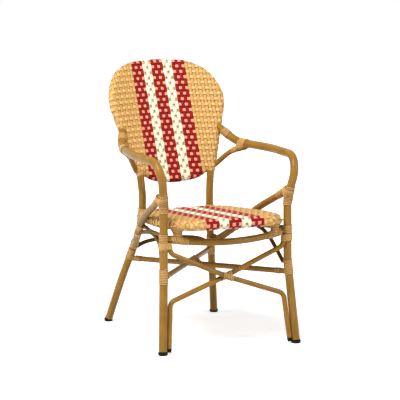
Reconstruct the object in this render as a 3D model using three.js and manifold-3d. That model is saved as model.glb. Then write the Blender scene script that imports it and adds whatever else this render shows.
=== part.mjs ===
// Rattan bistro armchair: bent tubes bound together with wound strip, and a woven seat and back.
// Millimetres, +Z up, the sitter faces -Y, mirror plane X = 0, feet on Z = 0.
// Before it is centred, a Forward size lies in front of Y = 0 and a Depth size behind it.
import * as THREE from "three";
import { ConvexGeometry } from "three/addons/geometries/ConvexGeometry.js";
import { mergeVertices } from "three/addons/utils/BufferGeometryUtils.js";
import Module from "manifold-3d";

const wasm = await Module();
wasm.setup();

// Gap left between two pieces that touch, and the overrun of cutting tools
const fitGap = 0.3;
const overrun = 30;

// Tube radii
const armTubeRadius = 12.5;
const rearTubeRadius = 10.5;
const hoopTubeRadius = 9;
const braceTubeRadius = 10.3;
const seatTubeRadius = 11;
const railTubeRadius = 9.2;
const crossTubeRadius = 7;
const stretcherTubeRadius = 7;
const forkTubeRadius = 8;
const sideBarRadius = 6.5;
const archTubeRadius = 6;
const tubeWall = 1.8;
const boreDepth = 22;

// Front leg and arm, one bent tube a side
const frontFootHalfSpan = 232;
const frontFootForward = 232;
const frontLegHalfSpan = 214.5;
const frontLegForward = 198;
const kneeHeight = 268;
const shoulderHeight = 450;
const armHeight = 606;
const armCornerHalfSpan = 237;
const armCornerForward = 252;
const elbowHalfSpan = 242;
const elbowForward = 22;
const armTurnHalfSpan = 207;
const armTurnDepth = 172;
const kneeBendRadius = 260;
const shoulderBendRadius = 150;
const armCornerRadius = 54;
const elbowRadius = 420;
const armTurnRadius = 130;
const armEndWidthShare = 0.885;
const armEndHeightShare = 0.425;

// Rear leg and upright, one bent tube a side
const rearFootHalfSpan = 195;
const rearFootDepth = 335;
const rearBendDrop = 148;
const rearBendRadius = 330;
const uprightInset = 5.8;
const uprightSetForward = 21;
const uprightBendDrop = 55;
const uprightBendRadius = 180;

// Backrest: a hoop in a leaning panel whose sides come forward
const backLean = THREE.MathUtils.degToRad(23.8);
const backBaseHeight = 500;
const backBaseDepth = 226;
const backHalfWidth = 193;
const backHeight = 392;
const backWrapDepth = 50;
const backRollRadius = 12.5;
const hoopStartHeight = 13;
const hoopStartWidthShare = 0.657;
const spigotLength = 12;

// Half of the hoop from its crown down, and the low rail, as shares of the back's half width and height
const hoopShares = [
  [0, 1], [0.27, 0.995], [0.53, 0.978], [0.82, 0.9], [0.995, 0.71], [0.915, 0.49], [0.785, 0.26], [0.7, 0.1],
];
const lowRailShares = [
  [-0.62, 0.075], [-0.45, 0.012], [-0.23, -0.024], [0, -0.033], [0.23, -0.024], [0.45, 0.012], [0.62, 0.075],
];

// Seat: a ring that rises to the front, woven over
const seatFrontForward = 256;
const seatFrontHeight = 408;
const seatPitch = THREE.MathUtils.degToRad(3.7);
const seatCornerHalfWidth = 168;
const seatWidestHalfWidth = 180;
const seatWidestForward = 78;
const seatRearHalfWidth = 148;
const seatToUprightGap = 25;
const seatCornerRadius = 72;
const seatSideRadius = 320;
const seatRearRadius = 72;
const seatRollRadius = 15.5;

// Front rail under the seat, bowed forward and sagging
const railEndHeight = 362;
const railEndForward = 190;
const railBow = 34;
const railSag = 17;
const neckHalfSpan = 160;
const neckRadius = 10;

// Cross tubes in the plane of the front legs
const crossFootInset = 22;
const crossFootForward = 230;
const crossFootHeight = 12;
const crossLowHalfSpan = 197;
const crossLowHeight = 162;
const crossLowForward = 209;
const crossHighHalfSpan = 192;
const crossHighHeight = 316;
const crossSag = 9;
const crossMiddleForward = 204;
const crossTopHalfSpan = 193.5;
const crossTopForward = 204;
const crossTopHeight = 348;
const crossBendRadius = 26;

// Diagonal stretchers from each rear leg to the far front leg
const lowStretcherRearHeight = 222;
const lowStretcherFrontHeight = 230;
const highStretcherHeight = 239.6;

// Arches and braces
const rearArchHeight = 292;
const rearArchEndHeight = 256;
const rearArchShoulderHalfSpan = 96;
const rearArchRise = 6;
const braceFrontHeight = 507.5;
const braceFrontOutset = 5.6;
const braceRearHeight = 268;
const braceRearOutset = 21.6;
const braceRearSetback = 8;
const archFrontHeight = 256;
const archFrontHalfSpan = 212;
const archFrontForward = 176;
const archTopHeight = 354;
const archTopHalfSpan = 186;
const archTopForward = 42;
const archShoulderHeight = 330;
const archShoulderForward = 112;
const archRearHalfSpan = 161;
const archRearDepth = 122;
const archRearHeight = 338;
const sideBarRearHalfSpan = 166;
const sideBarRearDepth = 88;
const sideBarRearHeight = 364;
const sideBarMiddleHalfSpan = 181;
const sideBarMiddleForward = 40;
const sideBarMiddleHeight = 368;
const sideBarFrontForward = 184;
const sideBarFrontHeight = 374;
const forkRearHalfSpan = 137;
const forkRearDepth = 219;
const forkRearRise = 19;
const forkMiddleHalfSpan = 182;
const forkMiddleDepth = 165;
const forkMiddleDrop = 30;
const forkFrontHalfSpan = 212;
const forkFrontDepth = 112;
const forkFrontDrop = 18;

// Wound strip: thickness, width and pitch, and where each winding lies
const stripThickness = 1.3;
const bendClearance = 0.45;
const stripWidth = 9;
const stripPitch = 10.4;
const thinStripWidth = 6.2;
const thinStripPitch = 7.4;
const upperWindingTop = 510;
const upperWindingBottom = 443;
const middleWindingTop = 383;
const middleWindingBottom = 325;
const lowerWindingTop = 271;
const lowerWindingBottom = 218;
const rearLowWindingTop = 262;
const rearLowWindingBottom = 220;
const railWindingLength = 58;
const armRootLength = 34;
const stretcherWindingLength = 24;
const braceWindingLength = 22;
const windingStandoff = 13;
const braceWindingStart = 38;
const armRootStandoff = 30;
const bindingThickness = 2.2;
const forkBindingDepth = 128;
const forkBindingHalf = 22;
const sideBindingHeight = 346;
const sideBindingHalf = 19;
const sideBindingTail = 20;
const crossBindingHalf = 14;
const stretcherBindingHalf = 17;
const seatTieHeight = 376;
const seatTieHalf = 22;
const seatTieRingHalf = 12;

// Rubber feet and small end caps
const footHeight = 11;
const footBulge = 2.2;
const smallCapHeight = 6;
const footLowShare = 0.8;
const footBulgeShare = 0.45;
const footNeckShare = 0.94;

// Facet counts
const mainSides = 12;
const roundSides = 10;
const thinSides = 8;
const bendStep = THREE.MathUtils.degToRad(13);
const bendStepsLeast = 3;
const stripSidesPerTurn = 10;
const hoopSteps = 28;
const lowRailSteps = 8;
const railSteps = 10;
const rearArchSteps = 10;
const sideArchSteps = 10;
const barSteps = 5;
const forkSteps = 7;
const bindingSides = 8;
const rimSteps = 4;

// Rings across a woven face as shares of its reach, and the share of a turn that a self gap leaves out
const faceShares = [0.4, 0.75];
const turnShare = 0.7;

const vec = (x, y, z) => new THREE.Vector3(x, y, z);
const sideName = (side) => (side < 0 ? "left" : "right");
const sides = [-1, 1];

// A route of stations with a direction at each, so that a sweep puts one ring at each station
class Route extends THREE.Curve {
  constructor(points, tangents) {
    super();
    this.points = points;
    this.tangents = tangents;
    this.stations = [0];
    for (let i = 1; i < points.length; i++) {
      this.stations.push(this.stations[i - 1] + points[i].distanceTo(points[i - 1]));
    }
  }

  get steps() {
    return this.points.length - 1;
  }

  get length() {
    return this.stations[this.steps];
  }

  blend(list, u) {
    const at = THREE.MathUtils.clamp(u, 0, 1) * this.steps;
    const i = Math.min(Math.floor(at), this.steps - 1);
    return list[i].clone().lerp(list[i + 1], at - i);
  }

  getPoint(u) {
    return this.blend(this.points, u);
  }

  getPointAt(u) {
    return this.blend(this.points, u);
  }

  getTangentAt(u) {
    return this.blend(this.tangents, u).normalize();
  }

  // The share of the stations at which the route has run a given distance
  shareAt(distance) {
    let i = 0;
    while (i < this.steps - 1 && this.stations[i + 1] < distance) i += 1;
    const run = this.stations[i + 1] - this.stations[i];
    return (i + (distance - this.stations[i]) / run) / this.steps;
  }

  placeAt(distance) {
    const u = this.shareAt(distance);
    return { point: this.getPointAt(u), tangent: this.getTangentAt(u) };
  }

  // The distance run where one coordinate first passes a value
  distanceWhere(axis, value) {
    for (let i = 0; i < this.steps; i++) {
      const a = this.points[i][axis] - value;
      const b = this.points[i + 1][axis] - value;
      if (a * b <= 0 && a !== b) {
        return this.stations[i] + (this.stations[i + 1] - this.stations[i]) * (a / (a - b));
      }
    }
    return this.length;
  }

  // The part of the route between two distances
  part(from, to) {
    const inner = this.stations.map((s, i) => i).filter((i) => this.stations[i] > from && this.stations[i] < to);
    const ends = [this.placeAt(from), this.placeAt(to)];
    return new Route(
      [ends[0].point, ...inner.map((i) => this.points[i].clone()), ends[1].point],
      [ends[0].tangent, ...inner.map((i) => this.tangents[i].clone()), ends[1].tangent],
    );
  }
}

// Straight runs between corners, with a round bend of the given radius at each corner
function bentRoute(corners, radii) {
  const points = [corners[0]];
  const tangents = [corners[1].clone().sub(corners[0]).normalize()];
  for (let i = 1; i < corners.length - 1; i++) {
    const into = corners[i].clone().sub(corners[i - 1]).normalize();
    const out = corners[i + 1].clone().sub(corners[i]).normalize();
    const turn = into.angleTo(out);
    const axis = into.clone().cross(out).normalize();
    const start = corners[i].clone().addScaledVector(into, -radii[i - 1] * Math.tan(turn / 2));
    const centre = start.clone().addScaledVector(axis.clone().cross(into), radii[i - 1]);
    const count = Math.max(bendStepsLeast, Math.round(turn / bendStep));
    for (let k = 0; k <= count; k++) {
      const angle = (turn * k) / count;
      points.push(start.clone().sub(centre).applyAxisAngle(axis, angle).add(centre));
      tangents.push(into.clone().applyAxisAngle(axis, angle));
    }
  }
  points.push(corners[corners.length - 1]);
  tangents.push(corners[corners.length - 1].clone().sub(corners[corners.length - 2]).normalize());
  return new Route(points, tangents);
}

// A smooth route through points, with evenly spaced stations
function smoothRoute(through, steps) {
  const curve = new THREE.CatmullRomCurve3(through, false, "centripetal");
  const points = [];
  const tangents = [];
  for (let i = 0; i <= steps; i++) {
    points.push(curve.getPointAt(i / steps));
    tangents.push(curve.getTangentAt(i / steps));
  }
  return new Route(points, tangents);
}

// A round tube or rod along a route; extend lengthens both ends, for cutting
function sweep(tube, grow = 0, extend = 0) {
  const { route, radius, sides } = tube;
  const points = route.points.map((p) => p.clone());
  points[0].addScaledVector(route.tangents[0], -extend);
  points[route.steps].addScaledVector(route.tangents[route.steps], extend);
  const outline = [];
  for (let i = 0; i < sides; i++) {
    const angle = (2 * Math.PI * i) / sides;
    outline.push(new THREE.Vector2(Math.cos(angle), Math.sin(angle)).multiplyScalar(radius + grow));
  }
  return new THREE.ExtrudeGeometry(new THREE.Shape(outline), {
    steps: route.steps,
    bevelEnabled: false,
    extrudePath: new Route(points, route.tangents),
  });
}

function toSolid(geometry) {
  const bare = new THREE.BufferGeometry();
  bare.setAttribute("position", geometry.getAttribute("position").clone());
  if (geometry.index) bare.setIndex(geometry.index);
  const merged = mergeVertices(bare);
  return new wasm.Manifold(new wasm.Mesh({
    numProp: 3,
    vertProperties: new Float32Array(merged.getAttribute("position").array),
    triVerts: new Uint32Array(merged.index.array),
  }));
}

function toGeometry(solid) {
  const mesh = solid.getMesh();
  const geometry = new THREE.BufferGeometry();
  geometry.setAttribute("position", new THREE.BufferAttribute(new Float32Array(mesh.vertProperties), 3));
  geometry.setIndex(new THREE.BufferAttribute(new Uint32Array(mesh.triVerts), 1));
  return geometry;
}

const tubeSolid = (tube, grow = 0, extend = 0) => toSolid(sweep(tube, grow, extend));

// Takes neighbours, grown by the fit gap, out of a solid
function cutBy(solid, neighbours) {
  return neighbours.reduce((left, other) => left.subtract(other), solid);
}

// Keeps only the largest of the pieces that a cut leaves
function largest(solid) {
  const pieces = solid.decompose();
  return pieces.reduce((best, piece) => (piece.volume() > best.volume() ? piece : best));
}

// Materials, one for each finish
function finish(colour, roughness) {
  return new THREE.MeshStandardMaterial({ color: colour, roughness, metalness: 0 });
}
const bamboo = finish("#a8783f", 0.42);
const wrap = finish("#cfa266", 0.55);
const weave = finish("#e0b06a", 0.5);
const rubber = finish("#17130f", 0.8);

const chair = new THREE.Group();

function add(name, geometry, material) {
  const mesh = new THREE.Mesh(geometry, material);
  mesh.name = name;
  chair.add(mesh);
}

// Routes of the frame's tubes; side is -1 at the left and 1 at the right
function armRoute(side) {
  return bentRoute([
    vec(side * frontFootHalfSpan, -frontFootForward, 0),
    vec(side * frontLegHalfSpan, -frontLegForward, kneeHeight),
    vec(side * frontLegHalfSpan, -frontLegForward, shoulderHeight),
    vec(side * armCornerHalfSpan, -armCornerForward, armHeight),
    vec(side * elbowHalfSpan, -elbowForward, armHeight),
    vec(side * armTurnHalfSpan, armTurnDepth, armHeight),
    armEnd(side),
  ], [kneeBendRadius, shoulderBendRadius, armCornerRadius, elbowRadius, armTurnRadius]);
}

// Where the arm runs into the backrest hoop
function armEnd(side) {
  return onBack(side * backHalfWidth * armEndWidthShare, backHeight * armEndHeightShare, 0);
}

// A corner of the upright, by its drop below the foot of the back
const uprightAt = (side, drop) => vec(
  side * (backHalfWidth * hoopStartWidthShare - uprightInset),
  backBaseDepth - uprightSetForward,
  backBaseHeight - drop,
);

function rearRoute(side) {
  return bentRoute([
    vec(side * rearFootHalfSpan, rearFootDepth, 0),
    uprightAt(side, rearBendDrop),
    uprightAt(side, uprightBendDrop),
    hoopStart(side),
  ], [rearBendRadius, uprightBendRadius]);
}

// The point of a route at a height
const atHeight = (route, height) => route.placeAt(route.distanceWhere("z", height)).point;

// A point of the backrest panel: across, up along the lean, and out of its face
function onBack(across, up, out) {
  const wrapForward = backWrapDepth * (across / backHalfWidth) ** 2;
  const slope = (2 * backWrapDepth * across) / backHalfWidth ** 2;
  const face = vec(-slope, -1, 0).normalize();
  face.set(face.x, face.y * Math.cos(backLean), Math.sin(backLean)).normalize();
  return vec(
    across,
    backBaseDepth + up * Math.sin(backLean) - wrapForward,
    backBaseHeight + up * Math.cos(backLean),
  ).addScaledVector(face, out);
}

function hoopStart(side) {
  return onBack(side * backHalfWidth * hoopStartWidthShare, hoopStartHeight, 0);
}

function hoopOutline() {
  const half = hoopShares.map(([across, up]) => [across * backHalfWidth, up * backHeight]);
  half.push([hoopStartWidthShare * backHalfWidth, hoopStartHeight]);
  const left = half.slice(1).reverse().map(([across, up]) => [-across, up]);
  return [...left, ...half];
}

// The hoop's ends are plugged into the uprights
function spigotEnd(side) {
  const start = hoopStart(side);
  const down = uprightAt(side, uprightBendDrop).sub(start).normalize();
  return start.addScaledVector(down, spigotLength);
}

function hoopRoute() {
  const through = hoopOutline().map(([across, up]) => onBack(across, up, 0));
  return smoothRoute([spigotEnd(-1), ...through, spigotEnd(1)], hoopSteps);
}

function lowRailRoute() {
  const through = lowRailShares.map(([across, up]) => onBack(across * backHalfWidth, up * backHeight, 0));
  return smoothRoute(through, lowRailSteps);
}

// A point of the seat plane, and the seat ring's outline from its rear joint round to the left
const onSeat = (x, y, out = 0) => vec(x, y + out * Math.sin(seatPitch),
  seatFrontHeight - (y + seatFrontForward) * Math.tan(seatPitch) + out * Math.cos(seatPitch));

const seatRearDepth = backBaseDepth - uprightSetForward - seatToUprightGap;

function seatRoute() {
  const jointHalf = fitGap / 2;
  return bentRoute([
    onSeat(jointHalf, seatRearDepth),
    onSeat(seatRearHalfWidth, seatRearDepth),
    onSeat(seatWidestHalfWidth, -seatWidestForward),
    onSeat(seatCornerHalfWidth, -seatFrontForward),
    onSeat(-seatCornerHalfWidth, -seatFrontForward),
    onSeat(-seatWidestHalfWidth, -seatWidestForward),
    onSeat(-seatRearHalfWidth, seatRearDepth),
    onSeat(-jointHalf, seatRearDepth),
  ], [seatRearRadius, seatSideRadius, seatCornerRadius, seatCornerRadius, seatSideRadius, seatRearRadius]);
}

function railRoute() {
  const through = [];
  for (let i = -2; i <= 2; i++) {
    const share = i / 2;
    const curve = share * share;
    through.push(vec(
      share * frontLegHalfSpan,
      -(railEndForward + railBow * (1 - curve)),
      railEndHeight - railSag * (1 - curve),
    ));
  }
  return smoothRoute(through, railSteps);
}

// A cross tube: foot beside one front leg, bend, across, bend, top beside the other front leg
function crossRoute(side) {
  const shift = -side * (crossTubeRadius + 2 * fitGap);
  return bentRoute([
    vec(side * (frontFootHalfSpan - crossFootInset), -crossFootForward, crossFootHeight),
    vec(side * crossLowHalfSpan, -crossLowForward, crossLowHeight),
    vec(0, -crossMiddleForward + shift, (crossLowHeight + crossHighHeight) / 2 - crossSag),
    vec(-side * crossHighHalfSpan, -crossLowForward, crossHighHeight),
    vec(-side * crossTopHalfSpan, -crossTopForward, crossTopHeight),
  ], [crossBendRadius, kneeBendRadius, crossBendRadius]);
}

function stretcherRoute(side) {
  const rearHeight = side < 0 ? lowStretcherRearHeight : highStretcherHeight;
  const frontHeight = side < 0 ? lowStretcherFrontHeight : highStretcherHeight;
  return bentRoute([atHeight(rearRoute(side), rearHeight), atHeight(armRoute(-side), frontHeight)], []);
}

function rearArchRoute() {
  const [left, right] = sides.map((side) => atHeight(rearRoute(side), rearArchEndHeight));
  const top = (across, height) => vec(across, right.y, height);
  return smoothRoute([
    left,
    top(-rearArchShoulderHalfSpan, rearArchHeight - rearArchRise),
    top(0, rearArchHeight),
    top(rearArchShoulderHalfSpan, rearArchHeight - rearArchRise),
    right,
  ], rearArchSteps);
}

function braceRoute(side) {
  const front = atHeight(armRoute(side), braceFrontHeight).add(vec(side * braceFrontOutset, 0, 0));
  const rear = atHeight(rearRoute(side), braceRearHeight).add(vec(side * braceRearOutset, braceRearSetback, 0));
  return bentRoute([front, rear], []);
}

const sideArchRoute = (side) => smoothRoute([
  vec(side * archRearHalfSpan, archRearDepth, archRearHeight),
  vec(side * archTopHalfSpan, -archTopForward, archTopHeight),
  vec(side * archTopHalfSpan + side * archTubeRadius, -archShoulderForward, archShoulderHeight),
  vec(side * archFrontHalfSpan, -archFrontForward, archFrontHeight),
], sideArchSteps);

const sideBarRoute = (side) => smoothRoute([
  vec(side * sideBarRearHalfSpan, sideBarRearDepth, sideBarRearHeight),
  vec(side * sideBarMiddleHalfSpan, -sideBarMiddleForward, sideBarMiddleHeight),
  vec(side * frontLegHalfSpan, -sideBarFrontForward, sideBarFrontHeight),
], barSteps);

const forkRoute = (side) => smoothRoute([
  vec(side * forkRearHalfSpan, forkRearDepth, backBaseHeight + forkRearRise),
  vec(side * forkMiddleHalfSpan, forkMiddleDepth, armHeight - forkMiddleDrop),
  vec(side * forkFrontHalfSpan, forkFrontDepth, armHeight - forkFrontDrop),
], forkSteps);

// A post from the front rail up to the seat ring
function neckRoute(side) {
  const foot = railRoute().placeAt(railRoute().distanceWhere("x", side * neckHalfSpan)).point;
  const ring = seatRoute().points.filter((p) => p.x * side > 0 && p.y < 0);
  const top = ring.reduce((best, p) => (p.distanceTo(foot) < best.distanceTo(foot) ? p : best));
  return bentRoute([foot, top.clone()], []);
}

const tube = (route, radius, count = roundSides) => ({ route, radius, sides: count });
const bySide = (make) => new Map(sides.map((side) => [side, make(side)]));
const arms = bySide((side) => tube(armRoute(side), armTubeRadius, mainSides));
const rears = bySide((side) => tube(rearRoute(side), rearTubeRadius, mainSides));
const crosses = bySide((side) => tube(crossRoute(side), crossTubeRadius, thinSides));
const stretchers = bySide((side) => tube(stretcherRoute(side), stretcherTubeRadius, thinSides));
const braces = bySide((side) => tube(braceRoute(side), braceTubeRadius, mainSides));
const arches = bySide((side) => tube(sideArchRoute(side), archTubeRadius, thinSides));
const bars = bySide((side) => tube(sideBarRoute(side), sideBarRadius, thinSides));
const forks = bySide((side) => tube(forkRoute(side), forkTubeRadius, thinSides));
const necks = bySide((side) => tube(neckRoute(side), neckRadius));
const hoop = tube(hoopRoute(), hoopTubeRadius);
const lowRail = tube(lowRailRoute(), hoopTubeRadius);
const rail = tube(railRoute(), railTubeRadius);
const seatRing = tube(seatRoute(), seatTubeRadius);
const seatJoint = tube(bentRoute([-1, 1].map((end) => onSeat(end * seatTubeRadius, seatRearDepth)), []), seatTubeRadius);
const rearArch = tube(rearArchRoute(), archTubeRadius, thinSides);

const grown = (piece) => tubeSolid(piece, fitGap, fitGap);

// The point at a radius and an angle round a route, at a distance along it
function beside(route, distance, radius, angle) {
  const { point, tangent } = route.placeAt(distance);
  const across = Math.abs(tangent.x) > Math.SQRT1_2 ? vec(0, 0, 1) : vec(1, 0, 0);
  const normal = across.addScaledVector(tangent, -across.dot(tangent)).normalize();
  const binormal = tangent.clone().cross(normal);
  return point.addScaledVector(normal, radius * Math.cos(angle)).addScaledVector(binormal, radius * Math.sin(angle));
}

// The inner radius of a wound strip's corners: its flats clear the tube, by more where the tube bends
function windingRadius(around) {
  const clearance = around.route.steps > 1 ? bendClearance : fitGap;
  return (around.radius + clearance) / Math.cos(Math.PI / stripSidesPerTurn);
}

// Wound strip round a tube: one unbroken flat strip that climbs a pitch each turn
function winding(around, from, to, width, pitch, hand) {
  const inner = windingRadius(around);
  const outer = inner + stripThickness;
  const turns = (to - from - width) / pitch;
  const count = Math.floor(turns * stripSidesPerTurn);
  const positions = [];
  const rings = [];
  for (let i = 0; i <= count; i++) {
    const low = from + (pitch * i) / stripSidesPerTurn;
    const angle = (hand * 2 * Math.PI * i) / stripSidesPerTurn;
    const ring = [[low, inner], [low + width, inner], [low + width, outer], [low, outer]]
      .map(([distance, radius]) => beside(around.route, distance, radius, angle));
    rings.push(ring);
    ring.forEach((p) => positions.push(p.x, p.y, p.z));
  }
  return { geometry: ribbon(positions, count, hand), gap: selfGap(rings) };
}

// Joins rings of four corners into a closed strip
function ribbon(positions, count, hand) {
  const index = [];
  const quad = (a, b, c, d) => (hand > 0 ? index.push(a, b, c, a, c, d) : index.push(a, c, b, a, d, c));
  const [a, b, c, d] = [0, 1, 2, 3];
  const corners = [a, b, c, d];
  for (let i = 0; i < count; i++) {
    const ring = i * corners.length;
    const after = ring + corners.length;
    corners.forEach((corner, k) => {
      const next = corners[(k + 1) % corners.length];
      quad(ring + corner, ring + next, after + next, after + corner);
    });
  }
  const last = count * corners.length;
  quad(d, c, b, a);
  quad(last + a, last + b, last + c, last + d);
  const geometry = new THREE.BufferGeometry();
  geometry.setAttribute("position", new THREE.Float32BufferAttribute(positions, 3));
  geometry.setIndex(index);
  return geometry;
}

// The least distance between points of one turn and points of the turns after it
function selfGap(rings) {
  let least = Infinity;
  for (let i = 0; i < rings.length; i++) {
    for (let k = i + Math.round(stripSidesPerTurn * turnShare); k < rings.length; k++) {
      for (const a of rings[i]) {
        for (const b of rings[k]) least = Math.min(least, a.distanceTo(b));
      }
    }
  }
  return least;
}

// The space that a winding takes up, for cutting what meets it
function windingSpace(around, from, to) {
  const reach = windingRadius(around) + stripThickness + fitGap;
  const radius = reach / Math.cos(Math.PI / mainSides);
  return tubeSolid({ route: around.route.part(from, to), radius, sides: mainSides }, 0, fitGap);
}

// A binding: the hull of short lengths of the tubes it ties, with the tubes left open
function binding(members, thickness = bindingThickness) {
  const points = [];
  for (const { piece, from, to } of members) {
    const wide = sweep({ ...piece, route: piece.route.part(from, to), sides: bindingSides }, thickness + fitGap);
    const position = wide.getAttribute("position");
    for (let i = 0; i < position.count; i++) points.push(new THREE.Vector3().fromBufferAttribute(position, i));
  }
  return toSolid(new ConvexGeometry(points));
}

// The part of a piece within a half length of the place where a coordinate passes a value
function lengthAt(piece, axis, value, half) {
  const middle = piece.route.distanceWhere(axis, value);
  return { piece, from: Math.max(0, middle - half), to: Math.min(piece.route.length, middle + half) };
}

// Rings of points over a woven panel: in from the middle of one face, round the rim, back to the other
function skinRings(outline, place, roll) {
  const middle = centreUp(outline);
  const face = (share, out) => outline.map(({ at }) => place(at.x * share, middle + (at.y - middle) * share, out));
  const rim = (angle) => {
    const reach = roll * Math.cos(angle);
    return outline.map(({ at, normal }) => place(at.x + normal.x * reach, at.y + normal.y * reach,
      roll * Math.sin(angle)));
  };
  const rings = faceShares.map((share) => face(share, roll));
  for (let k = 0; k <= rimSteps; k++) rings.push(rim(Math.PI / 2 - (Math.PI * k) / rimSteps));
  return [...rings, ...faceShares.map((share) => face(share, -roll)).reverse()];
}

// The closed skin of a woven panel: round at its rim and flat on both faces
function panelSkin(outline, place, roll) {
  const rings = skinRings(outline, place, roll);
  const middle = [place(0, centreUp(outline), roll), place(0, centreUp(outline), -roll)];
  const positions = [...rings.flat(), ...middle].flatMap((p) => [p.x, p.y, p.z]);
  const count = outline.length;
  const last = (rings.length - 1) * count;
  const index = [];
  for (let i = 0; i < count; i++) {
    const j = (i + 1) % count;
    for (let ring = 0; ring < last; ring += count) {
      index.push(ring + i, ring + count + j, ring + j, ring + i, ring + count + i, ring + count + j);
    }
    index.push(last + count, i, j, last + count + 1, last + j, last + i);
  }
  const geometry = new THREE.BufferGeometry();
  geometry.setAttribute("position", new THREE.Float32BufferAttribute(positions, 3));
  geometry.setIndex(index);
  return toSolid(geometry);
}

const centreUp = (outline) => outline.reduce((sum, { at }) => sum + at.y, 0) / outline.length;

// Gives each point of a closed flat outline, run anticlockwise, its outward normal
function withNormals(points) {
  return points.map((at, i) => {
    const before = points[(i + points.length - 1) % points.length];
    const after = points[(i + 1) % points.length];
    const along = after.clone().sub(before).normalize();
    return { at, normal: new THREE.Vector2(along.y, -along.x) };
  });
}

// The stations of the hoop and of the low rail, seen flat in the back panel
function backOutline() {
  const flat = (p) => new THREE.Vector2(p.x, (p.z - backBaseHeight) / Math.cos(backLean));
  const rim = [hoopStart(-1), ...hoop.route.points.slice(1, -1), hoopStart(1)];
  const foot = lowRail.route.points.slice(1, -1);
  return withNormals([...foot.map(flat), ...rim.map(flat).reverse()]);
}

// The stations of the seat ring, seen flat in the seat plane
function seatOutline() {
  return withNormals(seatRing.route.points.slice(1, -1).map((p) => new THREE.Vector2(p.x, p.y)).reverse());
}

function backSkin(grow) {
  return panelSkin(backOutline(), onBack, backRollRadius + grow);
}

function seatSkin(grow) {
  return panelSkin(seatOutline(), onSeat, seatRollRadius + grow);
}

// A rubber foot on the end of a leg, cut flat by the floor, with a stem in the tube's bore
function footSolid(piece, height, bulge) {
  const reach = piece.radius + bulge;
  const stem = (piece.radius - tubeWall) * Math.cos(Math.PI / piece.sides) - fitGap;
  const outline = [
    [0, -reach], [reach * footLowShare, -reach], [reach * footLowShare, 0], [reach, height * footBulgeShare],
    [reach * footNeckShare, height - fitGap], [stem, height - fitGap], [stem, boreDepth], [0, boreDepth],
  ].map(([r, z]) => new THREE.Vector2(r, z));
  const solid = toSolid(new THREE.LatheGeometry(outline, mainSides));
  const lift = new THREE.Quaternion().setFromUnitVectors(vec(0, 1, 0), piece.route.tangents[0]);
  const matrix = new THREE.Matrix4().compose(piece.route.points[0], lift, vec(1, 1, 1));
  return solid.transform(matrix.elements);
}

const bottomBox = (height) => {
  const size = 2 * (frontFootForward + rearFootDepth);
  const box = new THREE.BoxGeometry(size, size, size);
  box.translate(0, 0, height - size / 2);
  return toSolid(box);
};

// Shortens a leg to the top of its foot and bores it for the foot's stem
function legSolid(piece, height) {
  const start = piece.route.points[0];
  const along = piece.route.tangents[0];
  const end = start.clone().addScaledVector(along, height);
  const below = bentRoute([start.clone().addScaledVector(along, -overrun), end], []);
  const depth = bentRoute([start.clone(), start.clone().addScaledVector(along, height + boreDepth)], []);
  const cap = tubeSolid({ route: below, radius: piece.radius + overrun, sides: piece.sides });
  const bore = tubeSolid({ route: depth, radius: piece.radius - tubeWall, sides: piece.sides });
  return tubeSolid(piece).subtract(cap).subtract(bore);
}

function addSolid(name, solid, material) {
  add(name, toGeometry(largest(solid)), material);
}

// Where the windings lie along their tubes
const legSpan = (piece, bottom, top) => [piece.route.distanceWhere("z", bottom), piece.route.distanceWhere("z", top)];
const windings = [];
for (const side of sides) {
  const name = sideName(side);
  const arm = arms.get(side);
  const put = (label, piece, span, width = stripWidth, pitch = stripPitch) => {
    windings.push({ name: `${name}_${label}`, piece, span, width, pitch, hand: side });
  };
  put("upper_leg_winding", arm, legSpan(arm, upperWindingBottom, upperWindingTop));
  put("middle_leg_winding", arm, legSpan(arm, middleWindingBottom, middleWindingTop));
  put("lower_leg_winding", arm, legSpan(arm, lowerWindingBottom, lowerWindingTop));
  put("rear_leg_winding", rears.get(side), legSpan(rears.get(side), rearLowWindingBottom, rearLowWindingTop));
  const armReach = arm.route.length - armRootStandoff;
  put("arm_root_winding", arm, [armReach - armRootLength, armReach]);
  const railFrom = armTubeRadius + windingStandoff;
  const railSpan = side < 0 ? [railFrom, railFrom + railWindingLength]
    : [rail.route.length - railFrom - railWindingLength, rail.route.length - railFrom];
  put("rail_winding", rail, railSpan);
  const stretcher = stretchers.get(side);
  const far = stretcher.route.length - armTubeRadius - windingStandoff;
  put("stretcher_rear_winding", stretcher, [rearTubeRadius + windingStandoff,
    rearTubeRadius + windingStandoff + stretcherWindingLength], thinStripWidth, thinStripPitch);
  put("stretcher_front_winding", stretcher, [far - stretcherWindingLength, far], thinStripWidth, thinStripPitch);
  put("brace_winding", braces.get(side), [braceWindingStart, braceWindingStart + braceWindingLength]);
}

const spaceOf = (name) => {
  const found = windings.find((w) => w.name === name);
  return windingSpace(found.piece, ...found.span);
};

let leastGap = Infinity;
for (const { name, piece, span, width, pitch, hand } of windings) {
  const made = winding(piece, ...span, width, pitch, hand);
  leastGap = Math.min(leastGap, made.gap);
  add(name, made.geometry, wrap);
}
console.log(`least gap of a winding to itself: ${leastGap.toFixed(2)} mm`);

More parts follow.
